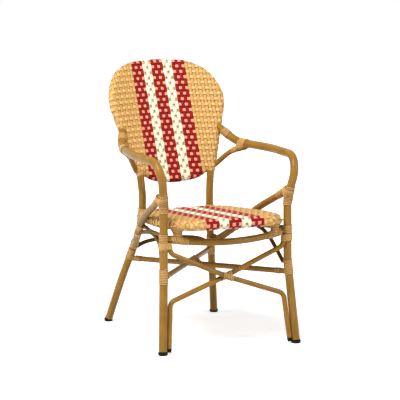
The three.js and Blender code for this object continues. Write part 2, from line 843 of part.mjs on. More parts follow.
for (const side of sides) {
  const name = sideName(side);
  const other = sideName(-side);
  const arm = arms.get(side);
  addSolid(`${name}_arm_and_front_leg`, legSolid(arm, footHeight).subtract(grown(hoop)), bamboo);
  addSolid(`${name}_rear_leg`, legSolid(rears.get(side), footHeight).subtract(grown(hoop)), bamboo);
  addSolid(`${name}_cross_tube`, cutBy(legSolid(crosses.get(side), smallCapHeight), [grown(arm),
    spaceOf(`${other}_middle_leg_winding`), spaceOf(`${other}_rail_winding`)]), bamboo);
  addSolid(`${name}_stretcher`, cutBy(tubeSolid(stretchers.get(side)), [spaceOf(`${name}_rear_leg_winding`),
    spaceOf(`${other}_lower_leg_winding`)]), bamboo);
  addSolid(`${name}_side_brace`, cutBy(tubeSolid(braces.get(side)), [spaceOf(`${name}_upper_leg_winding`),
    grown(arm), grown(rears.get(side)), spaceOf(`${name}_rear_leg_winding`)]), bamboo);
  addSolid(`${name}_side_arch`, cutBy(tubeSolid(arches.get(side)), [grown(braces.get(side)), grown(arm),
    spaceOf(`${name}_lower_leg_winding`)]), bamboo);
  addSolid(`${name}_seat_bar`, cutBy(tubeSolid(bars.get(side)), [grown(braces.get(side)), grown(arm),
    spaceOf(`${name}_middle_leg_winding`), seatSkin(fitGap)]), bamboo);
  addSolid(`${name}_arm_fork`, cutBy(tubeSolid(forks.get(side)), [grown(arm), grown(hoop), grown(lowRail)]), bamboo);
  addSolid(`${name}_seat_neck`, cutBy(tubeSolid(necks.get(side)), [grown(rail), tubeSolid(seatRing, fitGap),
    spaceOf(`${name}_rail_winding`)]), wrap);
}
addSolid("backrest_hoop", tubeSolid(hoop), bamboo);
addSolid("backrest_low_rail", tubeSolid(lowRail).subtract(grown(hoop)), bamboo);
addSolid("seat_ring", tubeSolid(seatRing), bamboo);
addSolid("front_rail", cutBy(tubeSolid(rail), sides.map((side) => spaceOf(`${sideName(side)}_middle_leg_winding`))),
  bamboo);
addSolid("rear_arch", cutBy(tubeSolid(rearArch), sides.flatMap((side) => [grown(rears.get(side)),
  spaceOf(`${sideName(side)}_rear_leg_winding`)])), bamboo);

// Bindings that tie two or more tubes
const crossTubes = sides.map((side) => crosses.get(side));
const stretcherTubes = sides.map((side) => stretchers.get(side));
addSolid("cross_tube_binding", cutBy(
  binding(crossTubes.map((piece) => lengthAt(piece, "x", 0, crossBindingHalf))),
  crossTubes.map(grown),
), wrap);
addSolid("stretcher_binding", cutBy(
  binding(stretcherTubes.map((piece) => lengthAt(piece, "x", 0, stretcherBindingHalf))),
  stretcherTubes.map(grown),
), wrap);

// The length of the seat's rolled edge that lies nearest to an upright
function seatRollNear(side) {
  const upright = atHeight(rears.get(side).route, seatTieHeight);
  const { route } = seatRing;
  let nearest = 0;
  for (let d = 0; d < route.length; d += seatTieRingHalf / 2) {
    const gap = route.placeAt(d).point.distanceTo(upright);
    if (gap < route.placeAt(nearest).point.distanceTo(upright)) nearest = d;
  }
  const piece = { route, radius: seatRollRadius, sides: bindingSides };
  return { piece, from: nearest - seatTieRingHalf, to: nearest + seatTieRingHalf };
}

for (const side of sides) {
  const name = sideName(side);
  const [arm, rear, fork, brace] = [arms, rears, forks, braces].map((set) => set.get(side));
  const arch = arches.get(side);
  const bar = bars.get(side);
  addSolid(`${name}_arm_fork_binding`, cutBy(binding([
    lengthAt(arm, "y", forkBindingDepth, forkBindingHalf),
    lengthAt(fork, "y", forkBindingDepth, forkBindingHalf),
  ]), [grown(arm), grown(fork)]), wrap);
  addSolid(`${name}_side_binding`, cutBy(binding([
    lengthAt(brace, "z", sideBindingHeight, sideBindingHalf),
    { piece: arch, from: 0, to: sideBindingTail },
    { piece: bar, from: 0, to: sideBindingTail },
  ]), [grown(brace), grown(arch), grown(bar), grown(rear), seatSkin(fitGap)]), wrap);
  addSolid(`${name}_seat_tie`, cutBy(binding([
    lengthAt(rear, "z", seatTieHeight, seatTieHalf),
    seatRollNear(side),
  ]), [grown(rear), grown(brace), seatSkin(fitGap)]), wrap);
}

addSolid("backrest_weave", cutBy(backSkin(0), [grown(hoop), grown(lowRail),
  ...sides.flatMap((side) => [grown(arms.get(side)), grown(rears.get(side)), grown(forks.get(side)),
    spaceOf(`${sideName(side)}_arm_root_winding`)])]), weave);
addSolid("seat_weave", cutBy(seatSkin(0), [tubeSolid(seatRing, fitGap), grown(seatJoint),
  ...sides.flatMap((side) => [grown(braces.get(side)), grown(necks.get(side)), grown(rears.get(side))])]), weave);

for (const side of sides) {
  const name = sideName(side);
  addSolid(`${name}_front_foot`, footSolid(arms.get(side), footHeight, footBulge).subtract(bottomBox(0)), rubber);
  addSolid(`${name}_rear_foot`, footSolid(rears.get(side), footHeight, footBulge).subtract(bottomBox(0)), rubber);
  addSolid(`${name}_cross_tube_cap`, footSolid(crosses.get(side), smallCapHeight, fitGap)
    .subtract(bottomBox(smallCapHeight)), rubber);
}

// The chair stands centred over the origin
const reach = new THREE.Box3().setFromObject(chair);
chair.position.y = -(reach.min.y + reach.max.y) / 2;

export default chair;
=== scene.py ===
import math

import bmesh
import bpy
import numpy as np
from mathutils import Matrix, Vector


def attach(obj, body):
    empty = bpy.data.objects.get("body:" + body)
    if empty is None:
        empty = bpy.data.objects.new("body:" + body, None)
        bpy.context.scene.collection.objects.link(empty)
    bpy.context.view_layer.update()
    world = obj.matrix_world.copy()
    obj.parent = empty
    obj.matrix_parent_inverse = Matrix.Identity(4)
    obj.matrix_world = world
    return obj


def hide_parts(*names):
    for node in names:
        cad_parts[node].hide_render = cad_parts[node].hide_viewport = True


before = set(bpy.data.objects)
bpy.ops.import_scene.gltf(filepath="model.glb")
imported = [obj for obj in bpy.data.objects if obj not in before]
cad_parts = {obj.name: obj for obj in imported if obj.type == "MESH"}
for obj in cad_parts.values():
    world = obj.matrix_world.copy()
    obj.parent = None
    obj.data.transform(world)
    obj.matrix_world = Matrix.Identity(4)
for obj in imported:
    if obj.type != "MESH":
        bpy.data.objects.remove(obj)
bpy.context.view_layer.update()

bl_info = {
    "name": "Rattan Bistro Armchair",
    "version": (1, 0, 0),
    "blender": (4, 5, 0),
    "location": "View3D > Sidebar > Armchair",
    "description": "Bent rattan tubes, wound joints and a striped woven seat and back",
    "category": "Object",
}

BODY = "root"
SIDES = {"left": -1, "right": 1}

# The frame is centred over the origin; the routes below are given before that shift
CENTRE_SHIFT = np.array([0.0, -0.062172, 0.0])

# Fixed sizes of the frame, in metres, as in the CAD source
BACK_LEAN = math.radians(23.8)
BACK_BASE = (0.226, 0.500)
BACK_HALF_WIDTH = 0.193
BACK_HEIGHT = 0.392
BACK_WRAP = 0.050
BACK_ROLL = 0.0125
SEAT_PITCH = math.radians(3.7)
SEAT_FRONT = (0.256, 0.408)
SEAT_ROLL = 0.0155
ARM_HEIGHT = 0.606
FOOT_HEIGHT = 0.011
CAP_HEIGHT = 0.006

# Tubes: the round of their ends, and how far an end stops short of the route's end in foot or joint
ROUND_EDGE = 0.0025
FOOT_TRIM = FOOT_HEIGHT - 0.001
BRACE_TRIM = 0.004
RAIL_TRIM = 0.006

# Heights between which the legs are wound
LEG_WINDINGS = {"upper_leg": (0.443, 0.510), "middle_leg": (0.325, 0.383), "lower_leg": (0.218, 0.271)}
REAR_LEG_WINDING = (0.220, 0.262)

# Distances from a tube's end between which it is wound
ARM_ROOT_WINDING = (0.030, 0.064)
RAIL_WINDING = (0.0255, 0.0835)
STRETCHER_REAR_WINDING = (0.0235, 0.0475)
STRETCHER_FRONT_WINDING = (0.0255, 0.0495)
FORK_WINDING = (0.040, 0.070)
BRACE_WINDING = (0.034, 0.084)

TURN_STEPS = 20

# Necks: points along one, girth at the foot and what it gains to the top in radii, and the grooves' depth
NECK_SPOTS = 90
NECK_GIRTH, NECK_FLARE = 1.1, 1.6
NECK_GROOVE = 0.0008

# Bindings: the gap under a loop, its width in strips, and the spacing of its points
LOOP_GAP = 0.0002
LOOP_WIDTH = 1.08
LOOP_STEP = 0.004
# Samples along a tube and round it where a loop's plane cuts it, and the least that it may lean out of the plane
CUT_SAMPLES, CUT_FACETS = 400, 48
LEAST_LEAN = 0.35
# How far a loop stands off a tube that is wound already
WINDING_LIFT = 0.0012

# Weave: the flat share of a crossing, steps along a strand, and the strands that lie under the coloured ones
COLUMN_FLAT, COLUMN_STEP = 0.2, 0.0032
ROW_FLAT, ROW_STEPS = 0.24, 4
# The under strands get UNDER_SINK of their painted shade colour
UNDER_STEP, UNDER_HEIGHT, UNDER_SINK = 0.008, -0.0016, 0.8
LINING_HEIGHT = -0.0012
CREST_REACH, CREST_STRANDS, CREST_DEPTH = 0.13, 13, -0.003
# Where the first row lies, the seat's crest as its row number and place, and the middle of the back's stripes
BACK_FIRST_ROW, SEAT_FIRST_ROW = 0.0073, -0.264
SEAT_CREST = (-1, -0.2825)
BACK_CENTRE = -0.0008
# Points round a panel's rim, samples across it, the fewest that make a strand, and how near it has to come
RIM_SPOTS, SPAN_SAMPLES = 480, 1400
LEAST_SAMPLES, LEAST_INSET = 30, 0.55

# The height that the camera and the lamps aim at, and the width of the photograph in pixels
AIM_HEIGHT = 0.45
PHOTO_PIXELS = 400


# ---------------------------------------------------------------- settings

def length(name, description, default):
    return bpy.props.FloatProperty(name=name, description=description, default=default, min=0.0,
                                   unit="LENGTH", subtype="DISTANCE", precision=4)


def radius(name, tube, default):
    return length(f"{name} radius", f"Radius of {tube}", default)


def colour(name, what, default):
    return bpy.props.FloatVectorProperty(name=name, description=f"Colour of {what}", default=default, size=3,
                                         min=0.0, max=1.0, subtype="COLOR")


def number(name, description, default, subtype="NONE"):
    return bpy.props.FloatProperty(name=name, description=description, default=default, min=0.0,
                                   subtype=subtype)


class TubeSettings(bpy.types.PropertyGroup):
    """Radii and colours of the bent tubes."""

    arm_radius: radius("Arm", "the front leg and arm tube", 0.0135)
    rear_radius: radius("Rear leg", "the rear leg and upright tube", 0.0124)
    hoop_radius: radius("Hoop", "the backrest hoop", 0.009)
    brace_radius: radius("Brace", "the side brace", 0.0116)
    seat_radius: radius("Seat ring", "the ring inside the seat", 0.011)
    rail_radius: radius("Rail", "the front rail", 0.0110)
    neck_radius: radius("Neck", "the short posts under the seat", 0.010)
    cross_radius: radius("Cross tube", "the crossing tubes at the front", 0.0081)
    stretcher_radius: radius("Stretcher", "the two stretchers", 0.0088)
    fork_radius: radius("Fork", "the arm fork", 0.0086)
    bar_radius: radius("Seat bar", "the bar beside the seat", 0.0065)
    arch_radius: radius("Arch", "the thin arches", 0.0066)
    light: colour("Light cane", "the light streaks", (0.345, 0.170, 0.018))
    dark: colour("Dark cane", "the dark streaks", (0.138, 0.062, 0.004))
    stain: colour("Stain", "the smoked patches", (0.075, 0.045, 0.008))
    # Painted shade: the thin tubes under the seat take the cane colours darkened by this share, for the seat's
    # shadow on them
    shade: number("Thin tube shade", "How much darker the thin tubes under the seat are", 0.42, "FACTOR")


class WindingSettings(bpy.types.PropertyGroup):
    """Sizes and colours of the wound strip at the joints."""

    strip_width: length("Strip width", "Width of the wound strip", 0.0053)
    strip_pitch: length("Strip pitch", "Distance from one turn to the next", 0.0052)
    strip_thickness: length("Strip thickness", "Thickness of the wound strip", 0.0014)
    base: colour("Strip", "the wound strip", (0.58, 0.325, 0.098))
    # Painted shade: the colour put in the grooves between turns
    deep: colour("Strip shade", "the grooves between turns", (0.10, 0.045, 0.011))


class WeaveSettings(bpy.types.PropertyGroup):
    """Sizes and colours of the woven back and seat."""

    strand_pitch: length("Strand pitch", "Distance between upright strands", 0.011)
    strand_width: length("Strand width", "Width of the upright strands", 0.0117)
    strand_thickness: length("Strand thickness", "Thickness of every strand", 0.0014)
    row_width: length("Row width", "Width of the strands that run across", 0.0125)
    back_row_pitch: length("Back row pitch", "Distance between rows of the back", 0.01933)
    seat_row_pitch: length("Seat row pitch", "Distance between rows of the seat", 0.022)
    ripple: length("Ripple", "How far a strand rises and sinks as it passes others", 0.0009)
    tan: colour("Natural strand", "the natural strands", (0.555, 0.312, 0.085))
    # The shade colours below are painted shade, where a strand dips under others and along its edges
    tan_deep: colour("Natural shade", "a natural strand where it dips", (0.50, 0.265, 0.075))
    red: colour("Red strand", "the red strands", (0.30, 0.008, 0.006))
    red_deep: colour("Red shade", "a red strand where it dips", (0.14, 0.004, 0.004))
    cream: colour("Cream strand", "the cream strands", (0.93, 0.85, 0.62))
    cream_deep: colour("Cream shade", "a cream strand where it dips", (0.80, 0.70, 0.46))
    # Painted highlight: rows are drawn lighter than the natural strands, for the light on their raised crossings
    row: colour("Row", "a row where it crosses natural strands", (0.74, 0.445, 0.172))
    # Painted shade along the edges of a row
    row_deep: colour("Row shade", "the edges of a row", (0.60, 0.33, 0.115))
    over_red: colour("Row over red", "a row where it crosses red strands", (0.84, 0.32, 0.21))
    over_cream: colour("Row over cream", "a row where it crosses cream strands", (0.84, 0.74, 0.48))
    # Painted shade: the dot stands for the shadow on a row where it lies sunk between cream strands
    dot: colour("Dot", "the dot in the middle of a crossing over cream", (0.20, 0.165, 0.075))


class FootSettings(bpy.types.PropertyGroup):
    """Sizes and colours of the rubber feet and caps."""

    bulge: length("Foot bulge", "How far a foot stands out from its leg", 0.0022)
    cap_bulge: length("Cap bulge", "How far a small cap stands out from its tube", 0.0003)
    rubber: colour("Rubber", "the feet", (0.006, 0.005, 0.005))
    dust: colour("Dust", "the worn edge of a foot", (0.030, 0.025, 0.020))


class StageSettings(bpy.types.PropertyGroup):
    """Camera, lamps, floor and backdrop."""

    azimuth: number("Azimuth", "Camera direction round the chair, to its left, in degrees", 23.69)
    elevation: number("Elevation", "Camera height above the horizon, in degrees", 8.64)
    distance: length("Distance", "Distance from the camera to the chair", 7.27)
    lens: number("Lens", "Focal length in millimetres", 202.14)
    floor: colour("Floor", "the floor", (0.80, 0.80, 0.80))
    key: number("Key lamp", "Power of the key lamp in watts", 172.0)
    fill: number("Fill lamp", "Power of the fill lamp in watts", 50.0)
    side: number("Side lamp", "Power of the lamp at the left in watts", 20.0)
    ambient: number("Ambient", "Strength of the even light all round", 0.26)


# ---------------------------------------------------------------- routes

def point(x, y, z):
    return np.array([x, y, z], float)


def mirrored(side, *corners):
    """Points given for the right side, taken to one side."""
    return [point(side * x, y, z) for x, y, z in corners]


def unit(vector):
    return vector / np.linalg.norm(vector)


class Path:
    """A line that knows how far along it each of its points is."""

    def __init__(self, points):
        self.points = np.asarray(points, float)
        steps = np.linalg.norm(np.diff(self.points, axis=0), axis=1)
        self.run = np.concatenate([[0.0], np.cumsum(steps)])
        self.length = self.run[-1]

    def at(self, distance):
        return np.stack([np.interp(distance, self.run, column) for column in self.points.T], -1)

    def heading(self, distance):
        reach = 0.002
        return unit(self.at(min(distance + reach, self.length)) - self.at(max(distance - reach, 0.0)))

    def where(self, axis, value):
        """The distance at which one coordinate first passes a value."""
        side = self.points[:, axis] - value
        for i in range(len(side) - 1):
            if side[i] * side[i + 1] <= 0 and side[i] != side[i + 1]:
                return self.run[i] + (self.run[i + 1] - self.run[i]) * side[i] / (side[i] - side[i + 1])
        return self.length

    def height(self, value):
        return self.at(self.where(2, value))

    def part(self, start, end):
        inner = self.points[(self.run > start) & (self.run < end)]
        return Path(np.vstack([self.at(start), inner, self.at(end)]))

    def trimmed(self, start, end=0.0):
        return self.part(start, self.length - end)


def bent_path(corners, radii, step=math.radians(3)):
    """Straight runs between corners, with a round bend at each."""
    points = [corners[0]]
    for before, corner, after, radius in zip(corners, corners[1:], corners[2:], radii):
        into, out = unit(corner - before), unit(after - corner)
        turn = math.acos(max(-1.0, min(1.0, into @ out)))
        inward = np.cross(unit(np.cross(into, out)), into)
        start = corner - into * radius * math.tan(turn / 2)
        for angle in np.linspace(0.0, turn, max(3, round(turn / step)) + 1):
            points.append(start + inward * radius * (1 - math.cos(angle)) + into * radius * math.sin(angle))
    return Path([*points, corners[-1]])


def smooth_path(through, per_span=10):
    """A centripetal curve through points."""
    spots = [2 * through[0] - through[1], *through, 2 * through[-1] - through[-2]]
    made = [through[0]]
    for a, b, c, d in zip(spots, spots[1:], spots[2:], spots[3:]):
        ab, bc, cd = (math.sqrt(np.linalg.norm(q - p)) for p, q in ((a, b), (b, c), (c, d)))
        leave = ((b - a) / ab - (c - a) / (ab + bc) + (c - b) / bc) * bc
        arrive = ((c - b) / bc - (d - b) / (bc + cd) + (d - c) / cd) * bc
        for t in np.linspace(0, 1, per_span + 1)[1:]:
            made.append(b + leave * t + (3 * (c - b) - 2 * leave - arrive) * t ** 2
                        + (2 * (b - c) + leave + arrive) * t ** 3)
    return Path(made)


def on_back(across, up, out=0.0):
    """Points of the backrest panel: across, up along the lean, and out of its face."""
    across, up, out = np.broadcast_arrays(*(np.asarray(v, float) for v in (across, up, out)))
    slope = 2 * BACK_WRAP * across / BACK_HALF_WIDTH ** 2
    flat = 1 / np.sqrt(slope ** 2 + 1)
    face = np.stack([-slope * flat, -flat * math.cos(BACK_LEAN), np.full_like(flat, math.sin(BACK_LEAN))], -1)
    face /= np.linalg.norm(face, axis=-1, keepdims=True)
    depth = BACK_BASE[0] + up * math.sin(BACK_LEAN) - BACK_WRAP * (across / BACK_HALF_WIDTH) ** 2
    return np.stack([across, depth, BACK_BASE[1] + up * math.cos(BACK_LEAN)], -1) + face * out[..., None]


def on_seat(x, y, out=0.0):
    """Points of the seat plane, and out of its face."""
    x, y, out = np.broadcast_arrays(*(np.asarray(v, float) for v in (x, y, out)))
    rise = SEAT_FRONT[1] - (y + SEAT_FRONT[0]) * math.tan(SEAT_PITCH)
    return np.stack([x, y + out * math.sin(SEAT_PITCH), rise + out * math.cos(SEAT_PITCH)], -1)


# Half of the hoop from its crown down, and the low rail, as shares of the back's half width and height
HOOP_SHARES = [(0, 1), (0.27, 0.995), (0.53, 0.978), (0.82, 0.9), (0.995, 0.71), (0.915, 0.49),
               (0.785, 0.26), (0.7, 0.1)]
HOOP_START = (0.657 * BACK_HALF_WIDTH, 0.013)
LOW_RAIL_SHARES = [(-0.62, 0.075), (-0.45, 0.012), (-0.23, -0.024), (0, -0.033), (0.23, -0.024),
                   (0.45, 0.012), (0.62, 0.075)]


def hoop_start(side):
    return on_back(side * HOOP_START[0], HOOP_START[1])


def upright_at(side, drop):
    return point(side * (HOOP_START[0] - 0.0058), BACK_BASE[0] - 0.021, BACK_BASE[1] - drop)


def arm_path(side):
    corners = mirrored(side, (0.232, -0.232, 0), (0.2153, -0.200, 0.268), (0.2145, -0.198, 0.466),
                       (0.236, -0.237, ARM_HEIGHT - 0.002), (0.242, -0.022, ARM_HEIGHT),
                       (0.207, 0.172, ARM_HEIGHT))
    end = on_back(side * BACK_HALF_WIDTH * 0.885, BACK_HEIGHT * 0.425)
    return bent_path([*corners, end], [0.260, 0.150, 0.060, 0.420, 0.130])


def rear_path(side):
    corners = mirrored(side, (0.195, 0.335, 0), (0.166, 0.283, 0.150))
    return bent_path([*corners, upright_at(side, 0.148), upright_at(side, 0.055), hoop_start(side)],
                     [1.2, 0.330, 0.180])


def hoop_path():
    """The hoop, with 12 mm of each end plugged into an upright."""
    half = [(a * BACK_HALF_WIDTH, u * BACK_HEIGHT) for a, u in HOOP_SHARES] + [HOOP_START]
    outline = [(-a, u) for a, u in reversed(half[1:])] + half
    left, right = (hoop_start(side) + unit(upright_at(side, 0.055) - hoop_start(side)) * 0.012
                   for side in (-1, 1))
    return smooth_path([left, *(on_back(a, u) for a, u in outline), right])


def low_rail_path():
    return smooth_path([on_back(a * BACK_HALF_WIDTH, u * BACK_HEIGHT) for a, u in LOW_RAIL_SHARES])


def seat_path():
    corners = [(0.00015, 0.180), (0.148, 0.180), (0.180, -0.078), (0.168, -0.256)]
    corners += [(-x, y) for x, y in reversed(corners)]
    return bent_path([on_seat(x, y) for x, y in corners], [0.072, 0.320, 0.072, 0.072, 0.320, 0.072])


def rail_path():
    return smooth_path([point(s * 0.2145, -(0.190 + 0.034 * (1 - s * s)), 0.362 - 0.017 * (1 - s * s))
                        for s in np.linspace(-1, 1, 5)])


def cross_path(side):
    return bent_path(mirrored(side, (0.210, -0.230, 0.012), (0.197, -0.209, 0.162),
                              (0, -0.204 - side * 0.0076, 0.230), (-0.1935, -0.208, 0.316),
                              (-0.2010, -0.2035, 0.350)), [0.026, 0.260, 0.026])


def stretcher_path(side):
    low, high = (0.2255, 0.230) if side < 0 else (0.2396, 0.2396)
    return Path([rear_path(side).height(low), arm_path(-side).height(high)])


def rear_arch_path():
    left, right = (rear_path(side).height(0.256) for side in (-1, 1))
    return smooth_path([left, point(-0.096, right[1], 0.2775), point(0, right[1], 0.286),
                        point(0.096, right[1], 0.2775), right])


def brace_path(side):
    front = arm_path(side).height(0.5030) + point(side * 0.0040, 0, 0)
    return smooth_path([front, *mirrored(side, (0.212, -0.125, 0.463), (0.1975, 0.001, 0.404),
                                         (0.181, 0.090, 0.345), (0.162, 0.163, 0.300), (0.1465, 0.217, 0.270))])


def side_arch_path(side):
    return smooth_path(mirrored(side, (0.178, 0.104, 0.337), (0.186, -0.042, 0.354), (0.192, -0.112, 0.330),
                                (0.212, -0.176, 0.256)))


def seat_bar_path(side):
    return smooth_path(mirrored(side, (0.184, 0.064, 0.366), (0.183, 0.022, 0.3645), (0.1845, -0.008, 0.360),
                                (0.1865, -0.060, 0.3605), (0.2145, -0.184, 0.371)))


def fork_path(side):
    return smooth_path(mirrored(side, (0.137, 0.219, 0.519), (0.182, 0.165, 0.576), (0.2155, 0.106, 0.599)))


def neck_path(side):
    foot = rail_path().at(rail_path().where(0, side * 0.165))
    ring = seat_path().points
    near = ring[(ring[:, 0] * side > 0) & (ring[:, 1] < 0)]
    return Path([foot, near[np.argmin(np.linalg.norm(near - foot, axis=1))]])


# ---------------------------------------------------------------- node trees

class Graph:
    """A node tree with short ways to add nodes; most of them give the new node's output."""

    def __init__(self, tree):
        self.tree = tree

    def feed(self, node, inputs):
        """Joins or sets inputs of a node."""
        for key, value in inputs.items():
            if isinstance(value, bpy.types.NodeSocket):
                self.tree.links.new(value, node.inputs[key])
            elif value is not None:
                node.inputs[key].default_value = value
        return node

    def node(self, kind, inputs=None, **settings):
        node = self.tree.nodes.new(kind)
        for option, value in settings.items():
            setattr(node, option, value)
        return self.feed(node, inputs or {})

    def add(self, kind, inputs=None, output=0, **settings):
        return self.node(kind, inputs, **settings).outputs[output]

    def math(self, operation, a, b=0.0):
        return self.add("ShaderNodeMath", {0: a, 1: b}, operation=operation)

    def total(self, first, *others):
        for other in others:
            first = self.math("ADD", first, other)
        return first

    def product(self, first, *others):
        for other in others:
            first = self.math("MULTIPLY", first, other)
        return first

    def vector(self, operation, a, b=None, scale=None, output=0):
        return self.add("ShaderNodeVectorMath", {0: a, 1: b, 3: scale}, output, operation=operation)

    def combine(self, x, y, z):
        return self.add("ShaderNodeCombineXYZ", {0: x, 1: y, 2: z})

    def separate(self, vector):
        return self.node("ShaderNodeSeparateXYZ", {0: vector}).outputs

    def spread(self, value, low, high, first=0.0, last=1.0):
        """Takes a value from one range to another, and holds it there."""
        return self.add("ShaderNodeMapRange", {0: value, 1: low, 2: high, 3: first, 4: last})

    def mix(self, share, a, b):
        return self.add("ShaderNodeMix", {0: share, 6: a, 7: b}, 2, data_type="RGBA")

    def clamp(self, value):
        return self.add("ShaderNodeClamp", {0: value})

    def noise(self, vector, scale, detail, roughness=0.5):
        return self.add("ShaderNodeTexNoise", {"Vector": vector, "Scale": scale, "Detail": detail,
                                               "Roughness": roughness}, "Fac")

    def place(self):
        return self.add("ShaderNodeTexCoord", output="Object")

    def attribute(self, name, output="Fac"):
        return self.add("ShaderNodeAttribute", output=output, attribute_name=name)

    def bump(self, height, distance, strength):
        return self.add("ShaderNodeBump", {"Height": height, "Distance": distance, "Strength": strength})

    def seen(self):
        """1 for rays that see a surface, 0 for those that only light others."""
        light = self.node("ShaderNodeLightPath").outputs
        return self.math("MAXIMUM", light["Is Camera Ray"],
                         self.math("MAXIMUM", light["Is Glossy Ray"], light["Is Transmission Ray"]))

    def named(self, name, data_type="FLOAT"):
        return self.add("GeometryNodeInputNamedAttribute", {"Name": name}, data_type=data_type)

    def store(self, geometry, name, value, data_type="FLOAT"):
        return self.add("GeometryNodeStoreNamedAttribute", {"Geometry": geometry, "Name": name, "Value": value},
                        data_type=data_type, domain="POINT")


def new_group(name, kind, inputs, outputs):
    """A node group; an input is a number, its default, or the kind of its socket."""
    tree = bpy.data.node_groups.new(name, kind)
    for label, value in inputs.items():
        socket = {int: "Int", float: "Float"}.get(type(value), value)
        made = tree.interface.new_socket(label, in_out="INPUT", socket_type="NodeSocket" + socket)
        if socket != value:
            made.default_value = value
    for label, socket in outputs.items():
        tree.interface.new_socket(label, in_out="OUTPUT", socket_type="NodeSocket" + socket)
    graph = Graph(tree)
    return graph, graph.node("NodeGroupInput").outputs, graph.node("NodeGroupOutput")


def geometry_group(name, inputs):
    return new_group(name, "GeometryNodeTree", {"Geometry": "Geometry", **inputs, "Material": "Material"},
                     {"Geometry": "Geometry"})


def kept(collection, name, make, *values):
    """A material or node group by its name, made when it is first asked for."""
    return collection.get(name) or make(name, *values)


def round_section(g, facets):
    """A round section whose points keep their place on it."""
    circle = g.add("GeometryNodeCurvePrimitiveCircle", {"Resolution": facets, "Radius": 1.0})
    return g.store(circle, "ring", g.add("GeometryNodeInputPosition"), "FLOAT_VECTOR")


def sweep(g, ports, end, curve, section, across, scale=1.0, rim=None):
    """Sweeps a section along a curve, with its grain, its rim and its material."""
    curve = g.store(curve, "run", g.add("GeometryNodeSplineParameter", output="Length"))
    mesh = g.add("GeometryNodeCurveToMesh", {"Curve": curve, "Profile Curve": section, "Scale": scale,
                                             "Fill Caps": True})
    x, y, _ = g.separate(g.named("ring", "FLOAT_VECTOR"))
    grain = g.combine(g.product(x, across), g.product(y, across), g.named("run"))
    mesh = g.store(mesh, "grain", grain, "FLOAT_VECTOR")
    # The rim is 1 at a flat section's edges, or the groove value where one is given; the strand shade paints shade
    # there
    mesh = g.store(mesh, "rim", rim or g.math("ABSOLUTE", x))
    for spare in ("ring", "run"):
        mesh = g.add("GeometryNodeRemoveAttribute", {"Geometry": mesh, "Name": spare})
    mesh = g.add("GeometryNodeSetShadeSmooth", {"Geometry": mesh})
    mesh = g.add("GeometryNodeRealizeInstances", {"Geometry": mesh})
    mesh = g.add("GeometryNodeSetMaterial", {"Geometry": mesh, "Material": ports["Material"]})
    g.feed(end, {"Geometry": mesh})
    return g.tree


def bent_tube_tree(name):
    """Sweeps a round section along a line, as thick at each point as its girth says."""
    g, ports, end = geometry_group(name, {"Facets": 28})
    curve = g.add("GeometryNodeMeshToCurve", {"Mesh": ports["Geometry"]})
    girth = g.named("girth")
    # A tube's groove value, where it has one, becomes its rim, which the strand shade paints as shade
    return sweep(g, ports, end, curve, round_section(g, ports["Facets"]), girth, girth, g.named("groove"))


def flat_sweep(g, ports, end, line):
    """Sweeps a flat strand with a crowned top along lines whose points know which way it faces."""
    curve = g.add("GeometryNodeMeshToCurve", {"Mesh": line})
    curve = g.add("GeometryNodeSetCurveNormal", {"Curve": curve, "Normal": g.named("facing", "FLOAT_VECTOR")},
                  mode="FREE")
    x, y, _ = g.separate(g.add("GeometryNodeInputPosition"))
    thin = g.product(y, ports["Thickness"], 0.5 / math.sin(math.pi / 3))
    shaped = g.combine(thin, g.product(x, ports["Width"], 0.5), 0.0)
    section = g.add("GeometryNodeSetPosition", {"Geometry": round_section(g, 6), "Position": shaped})
    return sweep(g, ports, end, curve, section, ports["Width"])


def strand_tree(name):
    g, ports, end = geometry_group(name, {"Width": 0.01, "Thickness": 0.001})
    return flat_sweep(g, ports, end, ports["Geometry"])


def winding_tree(name):
    """Winds a flat strip round the line that comes in, in one unbroken helix."""
    g, ports, end = geometry_group(name, {
        "Start": 0.0, "Turns": 10.0, "Pitch": 0.0045, "Core Radius": 0.01, "Width": 0.0046,
        "Thickness": 0.001, "Hand": 1.0, "Steps per Turn": TURN_STEPS})
    core = g.add("GeometryNodeMeshToCurve", {"Mesh": ports["Geometry"]})
    count = g.total(g.product(ports["Turns"], ports["Steps per Turn"]), 1.0)
    line = g.add("GeometryNodeMeshLine", {"Count": count}, mode="OFFSET")
    turn = g.math("DIVIDE", g.add("GeometryNodeInputIndex"), ports["Steps per Turn"])
    distance = g.total(g.product(turn, ports["Pitch"]), ports["Start"])
    spot = g.node("GeometryNodeSampleCurve", {"Curves": core, "Length": distance}, mode="LENGTH").outputs
    angle = g.product(turn, ports["Hand"], 2 * math.pi)
    aside = g.vector("CROSS_PRODUCT", spot["Tangent"], spot["Normal"])
    facing = g.vector("ADD", g.vector("SCALE", spot["Normal"], scale=g.math("COSINE", angle)),
                      g.vector("SCALE", aside, scale=g.math("SINE", angle)))
    reach = g.total(ports["Core Radius"], g.product(ports["Thickness"], 0.5))
    place = g.vector("ADD", spot["Position"], g.vector("SCALE", facing, scale=reach))
    line = g.store(line, "facing", facing, "FLOAT_VECTOR")
    line = g.add("GeometryNodeSetPosition", {"Geometry": line, "Position": place})
    return flat_sweep(g, ports, end, line)


TREES = {"Bent Tube": bent_tube_tree, "Flat Strand": strand_tree, "Wound Strip": winding_tree}


def line_mesh(name, lines, closed=False, **values):
    """A mesh of joined points, one run of them for each line, with values on the points."""
    edges, first = [], 0
    for line in lines:
        spots = np.arange(first, first + len(line))
        pairs = np.stack([spots[:-1], spots[1:]], 1)
        edges.append(np.vstack([pairs, [spots[-1], spots[0]]]) if closed else pairs)
        first += len(line)
    mesh = bpy.data.meshes.new(name)
    mesh.from_pydata(np.vstack(lines) + CENTRE_SHIFT, np.vstack(edges), [])
    for label, value in values.items():
        value = np.asarray(value, np.float32)
        flat = value.ndim == 1
        layer = mesh.attributes.new(label, "FLOAT" if flat else "FLOAT_VECTOR", "POINT")
        layer.data.foreach_set("value" if flat else "vector", value.ravel())
    return mesh


def new_object(name, data):
    piece = bpy.data.objects.new(name, data)
    bpy.context.scene.collection.objects.link(piece)
    return piece


